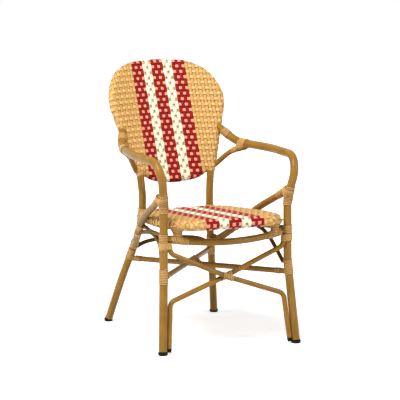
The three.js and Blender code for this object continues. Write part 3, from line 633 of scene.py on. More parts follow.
def grow(mesh, tree_name, material, slot, nodes, **inputs):
    """Runs a geometry tree on a mesh, keeps the result as a plain mesh, and ties it to the frame."""
    name = mesh.name
    piece = new_object(name, mesh)
    tree = kept(bpy.data.node_groups, tree_name, TREES[tree_name])
    modifier = piece.modifiers.new(tree_name, "NODES")
    modifier.node_group = tree
    values = {"material": material, **{key.replace("_", " ").lower(): value for key, value in inputs.items()}}
    for item in tree.interface.items_tree:
        if item.in_out == "INPUT" and item.name.lower() in values:
            modifier[item.identifier] = values[item.name.lower()]
    ready = piece.evaluated_get(bpy.context.evaluated_depsgraph_get())
    made = bpy.data.meshes.new_from_object(ready)
    piece.modifiers.remove(modifier)
    piece.data = made
    bpy.data.meshes.remove(mesh)
    made.name = name
    keep(piece, slot, *nodes)


def closed_rings(name, rings, tips, material, slot, *nodes):
    """A closed smooth mesh of rings of points, with a tip before the first and one after the last."""
    count, last = len(rings[0]), (len(rings) - 1) * len(rings[0])
    tip = last + count
    faces = []
    for i in range(count):
        j = (i + 1) % count
        faces += [(k + i, k + j, k + count + j, k + count + i) for k in range(0, last, count)]
        faces += [(tip, j, i), (last + i, last + j, tip + 1)]
    mesh = bpy.data.meshes.new(name)
    mesh.from_pydata(np.vstack([*rings, *tips]) + CENTRE_SHIFT, [], faces)
    mesh.materials.append(material)
    mesh.shade_smooth()
    work = bmesh.new()
    work.from_mesh(mesh)
    bmesh.ops.recalc_face_normals(work, faces=work.faces)
    work.to_mesh(mesh)
    work.free()
    keep(new_object(name, mesh), slot, *nodes)


def keep(piece, slot, *nodes):
    """Ties a finished piece to the frame and hides its CAD nodes; its material slot is not used."""
    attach(piece, BODY)
    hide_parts(*nodes)


# ---------------------------------------------------------------- materials

def rgba(value):
    return (*value[:3], 1.0)


def shade_group(name, inputs):
    return new_group(name, "ShaderNodeTree", inputs, {"Color": "Color", "Roughness": "Float", "Height": "Float"})


def cane_group(name):
    """Long streaks, broad mottling and smoked patches along a tube."""
    g, ports, end = shade_group(name, {"Grain": "Vector", "Light": "Color", "Dark": "Color", "Stain": "Color",
                                       "Stain Amount": 0.5})

    def noise(vector, scale, detail, along):
        return g.noise(g.vector("MULTIPLY", vector, (1.0, 1.0, along)), scale, detail, 0.55)

    place = g.place()
    drift = g.vector("ADD", ports["Grain"], g.vector("SCALE", place, scale=0.12))
    fine = noise(drift, 520.0, 3.0, 0.045)
    broad = noise(place, 21.0, 3.0, 0.6)
    patch = noise(drift, 62.0, 2.0, 0.16)
    streak, mottle = g.spread(fine, 0.32, 0.72), g.spread(broad, 0.30, 0.75)
    amount = g.total(g.product(streak, 0.42), g.product(mottle, 0.40))
    smoke = g.product(g.spread(patch, 0.56, 0.80), ports["Stain Amount"])
    base = g.mix(amount, ports["Light"], ports["Dark"])
    g.feed(end, {"Color": g.mix(smoke, base, ports["Stain"]), "Height": fine,
                 "Roughness": g.spread(broad, 0.0, 1.0, 0.36, 0.52)})
    return g.tree


def strand_group(name):
    """Fine lines along a flat strand, painted shade where it sinks below others, and painted shade along its edges.
    """
    g, ports, end = shade_group(name, {"Grain": "Vector", "Base": "Color", "Deep": "Color", "Sink": 0.0,
                                       "Rim": 0.0, "Edge Shade": 0.4})
    fine = g.noise(g.vector("MULTIPLY", ports["Grain"], (1.0, 0.0, 0.03)), 900.0, 2.0)
    broad = g.noise(g.place(), 34.0, 3.0)
    vary = g.product(g.total(broad, -0.42), 0.55)
    lines = g.product(g.total(fine, -0.45), 0.35)
    # Painted shade along the edges, where the rim comes up towards 1
    edge = g.product(g.spread(ports["Rim"], 0.55, 1.0), ports["Edge Shade"])
    amount = g.clamp(g.total(vary, lines, g.total(ports["Sink"], edge)))
    g.feed(end, {"Color": g.mix(amount, ports["Base"], ports["Deep"]), "Height": fine,
                 "Roughness": g.spread(broad, 0.0, 1.0, 0.42, 0.60)})
    return g.tree


def new_material(name):
    material = bpy.data.materials.new(name)
    material.use_nodes = True
    g = Graph(material.node_tree)
    g.tree.nodes.clear()
    shader = g.node("ShaderNodeBsdfPrincipled")
    g.node("ShaderNodeOutputMaterial", {0: shader.outputs[0]})
    return material, g, shader


def grouped_material(name, group, make, sources, values, bump, finish):
    """A material whose colour, roughness and height come from one node group."""
    material, g, shader = new_material(name)
    inputs = {label: g.attribute(label.lower(), output) for label, output in sources.items()}
    made = g.node("ShaderNodeGroup", {**inputs, **values}, node_tree=kept(bpy.data.node_groups, group, make))
    out = made.outputs
    g.feed(shader, {"Base Color": out["Color"], "Roughness": out["Roughness"],
                    "Normal": g.bump(out["Height"], *bump), **finish})
    return material, g, made


def cane_material(name, light, dark, stain, amount, shine=0.09, varnish=0.28):
    return grouped_material(
        name, "Cane Streaks", cane_group, {"Grain": "Vector"},
        {"Light": rgba(light), "Dark": rgba(dark), "Stain": rgba(stain), "Stain Amount": amount}, (0.0004, 0.25),
        {"Specular IOR Level": shine, "Coat Weight": varnish, "Coat Roughness": 0.22})[0]


def strip_parts(name, base, deep, edge_shade, shine=0.25):
    return grouped_material(
        name, "Strand Shade", strand_group, {"Grain": "Vector", "Sink": "Fac", "Rim": "Fac"},
        {"Base": rgba(base), "Deep": rgba(deep), "Edge Shade": edge_shade}, (0.0003, 0.3),
        {"Specular IOR Level": shine})


def strip_material(name, *values):
    return strip_parts(name, *values)[0]


def row_material(name, s):
    """The rows change colour with the strands that they cross, with a painted shade dot in the middle of each
    crossing over cream and painted shade at their edges.
    """
    material, g, group = strip_parts(name, s.row, s.row_deep, 0.55)
    zone, along = g.attribute("zone"), g.attribute("along")
    across = g.separate(g.attribute("grain", "Vector"))[0]
    spot = g.combine(g.math("DIVIDE", along, 0.44), g.math("DIVIDE", across, 0.70 * s.row_width), 0.0)
    # The dot: painted shade in the middle of each crossing over cream
    dot = g.spread(g.vector("LENGTH", spot, output="Value"), 0.8, 1.1, 1.0, 0.0)
    pale = g.mix(dot, rgba(s.over_cream), rgba(s.dot))
    # Base takes the zone colours; Deep is the painted shade at the row's edges, in the colour of the zone
    for port, tint, over_red, over_cream in (("Base", s.row, rgba(s.over_red), pale),
                                             ("Deep", s.row_deep, rgba(s.red_deep), rgba(s.cream_deep))):
        tint = rgba(tint)
        for sign, over in ((1.0, over_red), (-1.0, over_cream)):
            tint = g.mix(g.clamp(g.product(zone, sign)), tint, over)
        g.feed(group, {port: tint})
    return material


def rubber_material(name, base, dust):
    material, g, shader = new_material(name)
    place = g.place()
    patch = g.noise(place, 120.0, 3.0)
    worn = g.product(g.spread(g.separate(place)[2], 0.0, 0.006, 1.0, 0.0), patch)
    g.feed(shader, {"Base Color": g.mix(worn, rgba(base), rgba(dust)), "Specular IOR Level": 0.12,
                    "Roughness": g.spread(patch, 0.0, 1.0, 0.6, 0.85),
                    "Normal": g.bump(g.noise(place, 900.0, 3.0), 0.0003, 0.3)})
    return material


def cane():
    s = bpy.context.scene.armchair_tubes
    return kept(bpy.data.materials, "Cane", cane_material, s.light, s.dark, s.stain, 0.55)


# The cane with its colours darkened, as painted shade for the thin tubes that lie in the seat's shadow
def cane_in_painted_shade():
    s = bpy.context.scene.armchair_tubes
    light, dark = ([value * s.shade for value in tone] for tone in (s.light, s.dark))
    return kept(bpy.data.materials, "Dark_Cane", cane_material, light, dark, s.stain, 0.7, 0.04, 0.1)


def wound():
    s = bpy.context.scene.armchair_windings
    # Edge Shade 1.6 paints the deep colour as shade along the strip's edges and in the grooves between turns
    return kept(bpy.data.materials, "Wound_Strip", strip_material, s.base, s.deep, 1.6)


# ---------------------------------------------------------------- tubes

def tube_piece(name, path, radius, node, facets=28, material=None):
    """One bent tube with softened ends."""
    edge = min(ROUND_EDGE, radius * 0.4)
    turns = np.linspace(0.0, math.pi / 2, 5)
    starts = edge * (1 - np.cos(turns))
    shrink = (radius - edge) + edge * np.sin(turns)
    inner = path.run[(path.run > edge * 1.2) & (path.run < path.length - edge * 1.2)]
    spots = np.concatenate([starts, inner, (path.length - starts)[::-1]])
    girth = np.concatenate([shrink, np.full(len(inner), radius), shrink[::-1]])
    grow(line_mesh(name, [path.at(spots)], girth=girth), "Bent Tube", material or cane(), "bamboo_tube", [node],
         Facets=facets)


class ARMCHAIR_OT_legs_and_arms(bpy.types.Operator):
    """Build the bent tubes of the legs, arms and backrest"""

    bl_idname = "armchair.legs_and_arms"
    bl_label = "Legs, arms and back tubes"

    def execute(self, context):
        s = context.scene.armchair_tubes
        for name, side in SIDES.items():
            for label, path, radius, node, facets in (
                    ("arm", arm_path(side).trimmed(FOOT_TRIM), s.arm_radius, "arm_and_front_leg", 36),
                    ("upright", rear_path(side).trimmed(FOOT_TRIM), s.rear_radius, "rear_leg", 32),
                    ("fork", fork_path(side), s.fork_radius, "arm_fork", 28)):
                tube_piece(f"{name}_{label}_tube", path, radius, f"{name}_{node}", facets)
        tube_piece("back_hoop_tube", hoop_path(), s.hoop_radius, "backrest_hoop")
        tube_piece("back_foot_tube", low_rail_path(), s.hoop_radius, "backrest_low_rail")
        return {"FINISHED"}


class ARMCHAIR_OT_under_frame(bpy.types.Operator):
    """Build the tubes under and beside the seat"""

    bl_idname = "armchair.under_frame"
    bl_label = "Tubes under the seat"

    def execute(self, context):
        s = context.scene.armchair_tubes
        for name, side in SIDES.items():
            brace = brace_path(side).trimmed(BRACE_TRIM, BRACE_TRIM)
            stretcher = stretcher_path(side).trimmed(RAIL_TRIM, RAIL_TRIM)
            # The arch and the bar get the cane with painted shade, for the seat's shadow on them
            for label, path, radius, node, facets, material in (
                    ("brace", brace, s.brace_radius, "side_brace", 28, cane()),
                    ("crossing", cross_path(side).trimmed(CAP_HEIGHT), s.cross_radius, "cross_tube", 24, cane()),
                    ("stretcher", stretcher, s.stretcher_radius, "stretcher", 24, cane()),
                    ("arch", side_arch_path(side), s.arch_radius, "side_arch", 24, cane_in_painted_shade()),
                    ("bar", seat_bar_path(side), s.bar_radius, "seat_bar", 24, cane_in_painted_shade())):
                tube_piece(f"{name}_{label}_tube", path, radius, f"{name}_{node}", facets, material)
            self.neck(name, neck_path(side))
        tube_piece("seat_ring_tube", seat_path(), s.seat_radius, "seat_ring")
        tube_piece("front_rail_tube", rail_path().trimmed(RAIL_TRIM, RAIL_TRIM), s.rail_radius, "front_rail")
        # The rear arch gets the cane with painted shade too
        tube_piece("rear_arch_tube", rear_arch_path().trimmed(BRACE_TRIM, BRACE_TRIM), s.arch_radius, "rear_arch",
                   24, cane_in_painted_shade())
        return {"FINISHED"}

    def neck(self, name, path):
        """A post wound from end to end, wider where it meets the seat."""
        scene = bpy.context.scene
        spots = np.linspace(0.0, path.length, NECK_SPOTS)
        # groove is 1 between turns; besides the dip in girth, the wound material paints shade there
        groove = np.abs(2 * (spots / scene.armchair_windings.strip_pitch % 1.0) - 1)
        girth = (scene.armchair_tubes.neck_radius * (NECK_GIRTH + NECK_FLARE * (spots / path.length) ** 2)
                 + NECK_GROOVE * np.sqrt(1 - groove ** 2))
        mesh = line_mesh(f"{name}_neck_tube", [path.at(spots)], girth=girth, groove=groove)
        grow(mesh, "Bent Tube", wound(), "bamboo_tube", [f"{name}_seat_neck"], Facets=28)


# ---------------------------------------------------------------- windings

def winding_piece(name, path, radius, span, hand, node):
    """Strip wound in an unbroken helix round a length of tube."""
    s = bpy.context.scene.armchair_windings
    turns = (span[1] - span[0] - s.strip_width) / s.strip_pitch
    grow(line_mesh(name, [path.points]), "Wound Strip", wound(), "wrap", [node],
         Start=span[0] + s.strip_width / 2, Turns=turns, Pitch=s.strip_pitch, Core_Radius=radius,
         Width=s.strip_width, Thickness=s.strip_thickness, Hand=float(hand), Steps_per_Turn=TURN_STEPS)


def between(path, heights):
    """The distances along a path at two heights."""
    return [path.where(2, height) for height in heights]


def from_end(path, span):
    """Distances from a path's end, as distances from its start."""
    return path.length - span[1], path.length - span[0]


class ARMCHAIR_OT_windings(bpy.types.Operator):
    """Wind strip round the legs, the rails and the arm ends"""

    bl_idname = "armchair.windings"
    bl_label = "Windings on single tubes"

    def execute(self, context):
        s = context.scene.armchair_tubes
        rail = rail_path()
        for name, side in SIDES.items():
            arm, rear, stretcher, brace, fork = (make(side) for make in (arm_path, rear_path, stretcher_path,
                                                                         brace_path, fork_path))
            for label, path, radius, span, *node in (
                    *((label, arm, s.arm_radius, between(arm, span)) for label, span in LEG_WINDINGS.items()),
                    ("rear_leg", rear, s.rear_radius, between(rear, REAR_LEG_WINDING)),
                    ("arm_root", arm, s.arm_radius, from_end(arm, ARM_ROOT_WINDING)),
                    ("rail", rail, s.rail_radius, RAIL_WINDING if side < 0 else from_end(rail, RAIL_WINDING)),
                    ("stretcher_rear", stretcher, s.stretcher_radius, STRETCHER_REAR_WINDING),
                    ("stretcher_front", stretcher, s.stretcher_radius, from_end(stretcher, STRETCHER_FRONT_WINDING)),
                    ("fork", fork, s.fork_radius, from_end(fork, FORK_WINDING), "arm_fork_binding"),
                    ("brace", brace, s.brace_radius, BRACE_WINDING)):
                winding_piece(f"{name}_{label}_strip", path, radius, span, side,
                              "_".join([name, *(node or (label, "winding"))]))
        return {"FINISHED"}


def hull(points):
    """The corners of the hull round flat points, in turn."""
    order = sorted(map(tuple, points))

    def half(spots):
        made = []
        for p in spots:
            while len(made) > 1 and ((made[-1][0] - made[-2][0]) * (p[1] - made[-2][1])
                                     - (made[-1][1] - made[-2][1]) * (p[0] - made[-2][0])) <= 0:
                made.pop()
            made.append(p)
        return made[:-1]

    return np.array(half(order) + half(order[::-1]))


def evenly(outline, count=0):
    """Points spread evenly round a closed outline."""
    ring = Path(np.vstack([outline, outline[:1]]))
    count = count or max(24, round(ring.length / LOOP_STEP))
    return ring.at(np.linspace(0.0, ring.length, count, endpoint=False))


def outward(outline):
    """The way out of a closed flat outline at each of its points."""
    chord = np.roll(outline, -1, 0) - np.roll(outline, 1, 0)
    way = np.stack([chord[:, 1], -chord[:, 0]], -1) / np.linalg.norm(chord, axis=1, keepdims=True)
    return way * np.sign(((outline - outline.mean(0)) * way).sum())


def tie_loop(members, middle, normal, clear):
    """The loop that a strip makes round tubes where a plane cuts them, and the way it faces."""
    across = unit(np.cross(normal, [0.3, 0.1, 0.9] if abs(normal[2]) < 0.8 else [1.0, 0.2, 0.0]))
    up = np.cross(normal, across)
    turn = np.linspace(0.0, 2 * math.pi, CUT_FACETS, endpoint=False)[:, None]
    cut = []
    for path, radius in members:
        spots = np.linspace(0.0, path.length, CUT_SAMPLES)
        places = path.at(spots)
        side = (places - middle) @ normal
        crossing = np.nonzero(side[:-1] * side[1:] <= 0)[0]
        if len(crossing) == 0:
            continue
        best = min(crossing, key=lambda i: np.linalg.norm(places[i] - middle))
        spot = spots[best] + (spots[best + 1] - spots[best]) * side[best] / (side[best] - side[best + 1])
        heading = path.heading(spot)
        lean = heading @ normal
        if abs(lean) < LEAST_LEAN:
            continue
        first = unit(np.cross(heading, [0.31, 0.2, 0.93]))
        rim = (first * np.cos(turn) + np.cross(heading, first) * np.sin(turn)) * (radius + clear)
        rim += path.at(spot) - middle - np.outer(rim @ normal, heading) / lean
        cut.append(np.stack([rim @ across, rim @ up], -1))
    flat = evenly(hull(np.vstack(cut)))
    ways = outward(flat)
    return {"line": middle + flat[:, :1] * across + flat[:, 1:] * up,
            "facing": ways[:, :1] * across + ways[:, 1:] * up}


def strand_piece(name, strands, material, width, thickness, slot, *nodes):
    """A piece of closed flat strands, each with its points and the values on them."""
    values = {key: np.concatenate([strand[key] for strand in strands]) for key in strands[0] if key != "line"}
    mesh = line_mesh(name, [strand["line"] for strand in strands], closed=True, **values)
    grow(mesh, "Flat Strand", material, slot, nodes, Width=width, Thickness=thickness)


def tie_piece(name, members, planes, *nodes):
    """A binding: side by side loops of strip round two or more tubes."""
    s = bpy.context.scene.armchair_windings
    clear = s.strip_thickness * 0.5 + LOOP_GAP
    loops = [tie_loop(members, middle, unit(normal), clear) for middle, normal in planes]
    strand_piece(name, loops, wound(), s.strip_width * LOOP_WIDTH, s.strip_thickness, "wrap", *nodes)


def fan(start, end, first_normal, last_normal, count):
    """Planes that walk and turn evenly from one place to another."""
    return [(start + (end - start) * t, unit(first_normal) * (1 - t) + unit(last_normal) * t)
            for t in np.linspace(0.0, 1.0, count)]


def fan_on(path, spot, half, count):
    """Planes square to a path, over a half length to each side of a spot."""
    heading = path.heading(spot)
    return fan(path.at(spot - half), path.at(spot + half), heading, heading, count)


def side_ties(s, side):
    """The bindings of one side: name, tubes, planes of the loops, and the nodes that they stand for."""
    arm, fork, brace, rear, arch, bar = (make(side) for make in (
        arm_path, fork_path, brace_path, rear_path, side_arch_path, seat_bar_path))
    arm_tube, brace_tube = (arm, s.arm_radius), (brace, s.brace_radius)

    fork_ends = [(arm.at(arm.where(1, depth)) + fork.at(fork.where(1, depth))) / 2 for depth in (0.116, 0.146)]
    along_arm = arm.heading(arm.where(1, 0.128))
    yield ("arm_fork_tie", [arm_tube, (fork, s.fork_radius)], fan(*fork_ends, along_arm, along_arm, 8),
           "arm_fork_binding")

    # Over the leg's winding, and turned only part of the way to the brace, so that no loop cuts the leg
    lift, brace_spot = 0.0011, 0.034
    upward = arm.heading(arm.where(2, 0.494))
    yield ("leg_brace_tie", [(path, radius + lift) for path, radius in (arm_tube, brace_tube)],
           fan(arm.height(0.494), brace.at(brace_spot), upward, 0.4 * upward - 0.6 * brace.heading(brace_spot), 7),
           "upper_leg_winding", "brace_winding")

    # The brace carries the seat bar and the arch
    for label, height, half, count, thin, radius in (("upper", 0.364, 0.0135, 7, bar, s.bar_radius),
                                                     ("lower", 0.335, 0.0085, 5, arch, s.arch_radius)):
        yield (f"{label}_brace_tie", [brace_tube, (thin.part(0, 0.03), radius)],
               fan_on(brace, brace.where(2, height), half, count), "side_binding")

    # The lower end of the brace lies against the rear leg
    low, high = between(rear, (0.264, 0.285))
    yield ("brace_foot_tie", [(rear, s.rear_radius), brace_tube],
           fan(rear.at(low), rear.at(high), rear.heading(low), rear.heading(high), 6), "rear_leg_winding")
    yield ("seat_tie_strip", [(rear, s.rear_radius)], fan_on(rear, rear.where(2, 0.376), 0.020, 10), "seat_tie")

    # The far cross tube ends beside the front leg, over the leg's winding
    upright = point(0, 0, 1)
    yield ("crossing_end_tie", [(arm, s.arm_radius + WINDING_LIFT), (cross_path(-side), s.cross_radius)],
           fan(arm.height(0.334), arm.height(0.350), upright, upright, 5), "middle_leg_winding")


class ARMCHAIR_OT_bindings(bpy.types.Operator):
    """Tie the tubes together with loops of strip where they meet"""

    bl_idname = "armchair.bindings"
    bl_label = "Bindings at the joints"

    def execute(self, context):
        s = context.scene.armchair_tubes
        across = point(1, 0, 0)
        for name, make, radius, half, node in (
                ("crossing_tie", cross_path, s.cross_radius, 0.014, "cross_tube_binding"),
                ("stretcher_tie", stretcher_path, s.stretcher_radius, 0.017, "stretcher_binding")):
            paths = [make(side) for side in SIDES.values()]
            middle = np.mean([path.at(path.where(0, 0.0)) for path in paths], axis=0)
            count = round(2 * half / context.scene.armchair_windings.strip_pitch) + 1
            planes = fan(middle - across * half, middle + across * half, across, across, count)
            tie_piece(name, [(path, radius) for path in paths], planes, node)
        for name, side in SIDES.items():
            for label, members, planes, *nodes in side_ties(s, side):
                tie_piece(f"{name}_{label}", members, planes, *(f"{name}_{node}" for node in nodes))
        return {"FINISHED"}


# ---------------------------------------------------------------- weaves

def on_line(axis, value, run):
    """Flat points along a straight line on which one coordinate is fixed."""
    spots = np.empty((len(run), 2))
    spots[:, axis], spots[:, 1 - axis] = value, run
    return spots


class Panel:
    """A woven panel, unrolled flat: its rim, its rolled edge and its place in space."""

    def __init__(self, rim, place, roll):
        self.rim = evenly(rim, RIM_SPOTS)
        self.place = place
        self.roll = roll
        # How far the unrolled skin runs past the rim before it is edge on
        self.reach = roll * math.pi / 2

    def distances(self, spots):
        """Signed distance of flat points to the rim, and their nearest points on it."""
        start, end = self.rim, np.roll(self.rim, -1, 0)
        span = end - start
        share = ((spots[:, None] - start) * span).sum(-1) / (span ** 2).sum(-1)
        near = start + np.clip(share, 0, 1)[..., None] * span
        gaps = np.linalg.norm(spots[:, None] - near, axis=-1)
        best = gaps.argmin(1)
        picked = np.arange(len(spots))
        above = (start[:, 1] <= spots[:, None, 1]) != (end[:, 1] <= spots[:, None, 1])
        with np.errstate(divide="ignore", invalid="ignore"):
            crossing = start[:, 0] + (spots[:, None, 1] - start[:, 1]) / span[:, 1] * span[:, 0]
        inside = (above & (crossing > spots[:, None, 0])).sum(1) % 2 == 1
        return np.where(inside, -1, 1) * gaps[picked, best], near[picked, best]

    def skin(self, spots, height, face):
        """Places of points of the skin, raised by a height, and the way the skin faces there."""
        gap, foot = self.distances(spots)
        angle = np.maximum(gap, 0.0) / self.roll
        away = (spots - foot) / np.maximum(np.abs(gap), 1e-9)[:, None]

        def at(lift):
            reach = self.roll + lift
            rolled = foot + away * (reach * np.sin(angle))[:, None]
            flat = np.where((gap > 0)[:, None], rolled, spots)
            return self.place(flat[:, 0], flat[:, 1], face * reach * np.where(gap > 0, np.cos(angle), 1.0))

        facing = at(height + 0.001) - at(height)
        return at(height), facing / np.linalg.norm(facing, axis=1, keepdims=True)

    def shell(self, name, material, node):
        """A closed skin just under the strands, front and back joined round the rolled edge."""
        rim, middle = self.rim[::3], self.rim.mean(0)
        flats = [middle + (rim - middle) * share for share in (0.12, 0.3, 0.5, 0.7, 0.85, 0.96)]
        flats += [rim + outward(rim) * self.reach * share for share in np.linspace(0.02, 0.995, 7)]
        front, rear = ([self.skin(flat, LINING_HEIGHT, face)[0] for flat in (*flats, middle[None])]
                       for face in (1, -1))
        closed_rings(name, front[:-1] + rear[-2::-1], [front[-1], rear[-1]], material, "weave", node)

    def span(self, axis, value):
        """The stretch of a straight line, unrolled, that lies on the skin."""
        low, high = self.rim.min(0) - self.roll * 2, self.rim.max(0) + self.roll * 2
        run = np.linspace(low[1 - axis], high[1 - axis], SPAN_SAMPLES)
        gap, _ = self.distances(on_line(axis, value, run))
        held = np.nonzero(gap < self.reach)[0]
        if len(held) < LEAST_SAMPLES or gap.min() > self.reach * LEAST_INSET:
            return None
        return run[held[0]], run[held[-1]]


def wave(run, centres, signs, pitch, flat):
    """A rise or fall at each centre, held flat over a share of the pitch and eased between."""
    made = np.zeros_like(run)
    for centre, sign in zip(centres, signs):
        share = np.clip((np.abs(run - centre) / pitch - flat) / (1 - 2 * flat), 0, 1)
        made += sign * 0.5 * (1 + np.cos(math.pi * share))
    return made


def loop_on(panel, axis, value, centres, signs, pitch, flat, step, ripple, base=0.0, crest=None):
    """A closed strand over the front of a panel and back under it, along one straight line."""
    ends = panel.span(axis, value)
    if ends is None:
        return None
    origin = centres[0] if len(centres) else ends[0]
    marks = origin + step * np.arange(math.ceil((ends[0] - origin) / step), (ends[1] - origin) / step)
    marks = marks[(marks > ends[0] + step * 0.3) & (marks < ends[1] - step * 0.3)]
    run = np.concatenate([[ends[0]], marks, [ends[1]]])
    spots = on_line(axis, value, run)
    rise = rise_rear = wave(run, centres, signs, pitch, flat)
    if crest:
        rise, rise_rear = (np.clip(rise + wave(part, [crest[0]], [crest[1]], pitch, flat), -1, 1)
                           for part in (run, 2 * ends[0] - run))
    front, rear = (panel.skin(spots, base + lift * ripple, face) for lift, face in ((rise, 1), (rise_rear, -1)))
    return [np.concatenate([over, under[-2:0:-1]])
            for over, under in (*zip(front, rear), (rise, rise_rear), (run, run))]


def stripe(column):
    """The colour of an upright strand, counted from the middle: 1 red, -1 cream, 0 natural."""
    place = column if column >= 0 else -1 - column
    return 1 if place < 2 or 5 <= place < 9 else -1 if place < 5 else 0


# sink says how far a strand dips under others; its material paints that as shade
def strand(line, facing, rise, **values):
    return {"line": line, "facing": facing, "sink": np.clip(-rise, 0, 1), **values}


def turns_over(column, row):
    """1 where a row passes over a column, -1 where it passes under."""
    return 1 if (column + row) % 2 == 0 else -1


def woven(name, panel, centre, rows, row_pitch, node, crest=None):
    """Every strand of one panel, as pieces of one colour each."""
    s = bpy.context.scene.armchair_weave
    half = int((np.abs(panel.rim[:, 0]).max() + panel.reach) / s.strand_pitch) + 1
    columns = list(range(-half, half))
    places = [centre + (i + 0.5) * s.strand_pitch for i in columns]
    rows = [(k, value) for k, value in rows if panel.span(1, value)]
    strands = {0: [], 1: [], -1: []}
    for column, place in zip(columns, places):
        signs = [-turns_over(column, k) for k, _ in rows]
        edge = (crest[1], -turns_over(column, crest[0])) if crest and abs(place) < CREST_REACH else None
        made = loop_on(panel, 0, place, [value for _, value in rows], signs, row_pitch, COLUMN_FLAT, COLUMN_STEP,
                       s.ripple, crest=edge)
        if made:
            group = strands[stripe(column)]
            group.append(strand(*made[:3]))
            if stripe(column):
                line, facing, flat, _ = loop_on(panel, 0, place, [], [], row_pitch, COLUMN_FLAT, UNDER_STEP, 0.0,
                                                UNDER_HEIGHT)
                group.append(strand(line, facing, flat - UNDER_SINK))
    wefts = []

    def weft(line, facing, rise, run):
        cell = (run - centre) / s.strand_pitch
        zone = np.array([stripe(int(math.floor(c))) for c in cell], float)
        wefts.append(strand(line, facing, rise, zone=zone, along=np.abs(cell - np.floor(cell) - 0.5)))

    step = s.strand_pitch / ROW_STEPS
    for k, value in rows:
        signs = [turns_over(column, k) for column in columns]
        made = loop_on(panel, 1, value, places, signs, s.strand_pitch, ROW_FLAT, step, s.ripple)
        if made:
            weft(*made)
    if crest:
        run = np.arange(-CREST_STRANDS * ROW_STEPS, CREST_STRANDS * ROW_STEPS + 1) * s.strand_pitch / ROW_STEPS
        signs = [turns_over(column, crest[0]) for column in columns]
        rise = wave(run, places, signs, s.strand_pitch, ROW_FLAT)
        spots = on_line(1, 2 * panel.span(0, centre)[0] - crest[1], run)
        outer, faces = panel.skin(spots, rise * s.ripple, -1)
        inner, _ = panel.skin(spots, np.full_like(run, CREST_DEPTH), -1)
        weft(*(np.concatenate([over, under[::-1]])
               for over, under in ((outer, inner), (faces, faces), (rise, rise * 0 - 1), (run, run))))
    materials = bpy.data.materials
    # The third value of each look is how much painted shade falls on the strand's edges
    for key, label, *look in ((0, "natural", s.tan, s.tan_deep, 0.25, 0.25),
                              (1, "red", s.red, s.red_deep, 0.9, 0.08),
                              (-1, "cream", s.cream, s.cream_deep, 0.3, 0.25)):
        strand_piece(f"{name}_{label}_strands", strands[key],
                     kept(materials, f"Weave_{label}", strip_material, *look), s.strand_width,
                     s.strand_thickness, "weave", node)
    strand_piece(f"{name}_rows", wefts, kept(materials, "Weave_rows", row_material, s), s.row_width,
                 s.strand_thickness, "weave", node)
    panel.shell(f"{name}_lining", kept(materials, "Weave_lining", strip_material, s.tan, s.tan_deep, 0.0), node)


class ARMCHAIR_OT_backrest(bpy.types.Operator):
    """Weave the backrest over its hoop"""

    bl_idname = "armchair.backrest"
    bl_label = "Woven backrest"

    def execute(self, context):
        pitch = context.scene.armchair_weave.back_row_pitch
        hoop, foot = (np.stack([path.points[:, 0], (path.points[:, 2] - BACK_BASE[1]) / math.cos(BACK_LEAN)], -1)
                      for path in (hoop_path(), low_rail_path()))
        rim = np.vstack([foot[2:-2], hoop[hoop[:, 1] > HOOP_START[1]][::-1]])
        rows = [(k + 1, BACK_FIRST_ROW + k * pitch) for k in range(-3, 22)]
        woven("back", Panel(rim, on_back, BACK_ROLL), BACK_CENTRE, rows, pitch, "backrest_weave")
        return {"FINISHED"}


class ARMCHAIR_OT_seat(bpy.types.Operator):
    """Weave the seat over its ring"""

    bl_idname = "armchair.seat"
    bl_label = "Woven seat"

    def execute(self, context):
        pitch = context.scene.armchair_weave.seat_row_pitch
        panel = Panel(seat_path().points[1:-1][::-1, :2], on_seat, SEAT_ROLL)
        rows = [(k, SEAT_FIRST_ROW + k * pitch) for k in range(23)]
        woven("seat", panel, 0.0, rows, pitch, "seat_weave", SEAT_CREST)
        return {"FINISHED"}


# ---------------------------------------------------------------- feet

def turned(name, profile, path, material, node, facets=36):
    """A closed turned shape from its profile, set on the start of a path and cut flat by the floor."""
    turn = np.array(Vector((0, 0, 1)).rotation_difference(Vector(path.heading(0.0))).to_matrix())
    angles = np.linspace(0, 2 * math.pi, facets, endpoint=False)
    rings = [np.stack([radius * np.cos(angles), radius * np.sin(angles), np.full(facets, height)], -1)
             for radius, height in profile[1:-1]]
    tips = [np.array([[0, 0, profile[0][1]]]), np.array([[0, 0, profile[-1][1]]])]
    rings, tips = ([np.maximum(part @ turn.T + path.points[0], [-np.inf, -np.inf, 0.0]) for part in parts]
                   for parts in (rings, tips))
    closed_rings(name, rings, tips, material, "rubber", node)


class ARMCHAIR_OT_feet(bpy.types.Operator):
    """Fit the rubber feet and the caps of the crossing tubes"""

    bl_idname = "armchair.feet"
    bl_label = "Rubber feet"

    def execute(self, context):
        s, tubes = context.scene.armchair_feet, context.scene.armchair_tubes
        material = kept(bpy.data.materials, "Rubber", rubber_material, s.rubber, s.dust)
        for name, side in SIDES.items():
            for label, path, radius, height, bulge, low in (
                    ("front_foot", arm_path(side), tubes.arm_radius, FOOT_HEIGHT, s.bulge, -0.004),
                    ("rear_foot", rear_path(side), tubes.rear_radius, FOOT_HEIGHT, s.bulge, -0.004),
                    ("cross_tube_cap", cross_path(side), tubes.cross_radius, CAP_HEIGHT, s.cap_bulge, -0.005)):
                reach = radius + bulge
                profile = [(0, low), (reach * 0.80, low), (reach * 0.86, 0.0005), (reach * 0.97, height * 0.28),
                           (reach, height * 0.48), (reach * 0.985, height * 0.70), (reach * 0.93, height * 0.92),
                           (radius * 1.01, height), (radius * 0.9, height + 0.0006), (0, height + 0.0006)]
                turned(f"{name}_{label}_rubber", profile, path, material, f"{name}_{label}")
        return {"FINISHED"}


# ---------------------------------------------------------------- stage

def lamp(name, place, size, power):
    data = bpy.data.lights.new(name, "AREA")
    data.shape, data.size, data.energy = "DISK", size, power
    made = new_object(name, data)
    made.location = place
    made.rotation_euler = (Vector((0, 0, AIM_HEIGHT)) - Vector(place)).to_track_quat("-Z", "Y").to_euler()


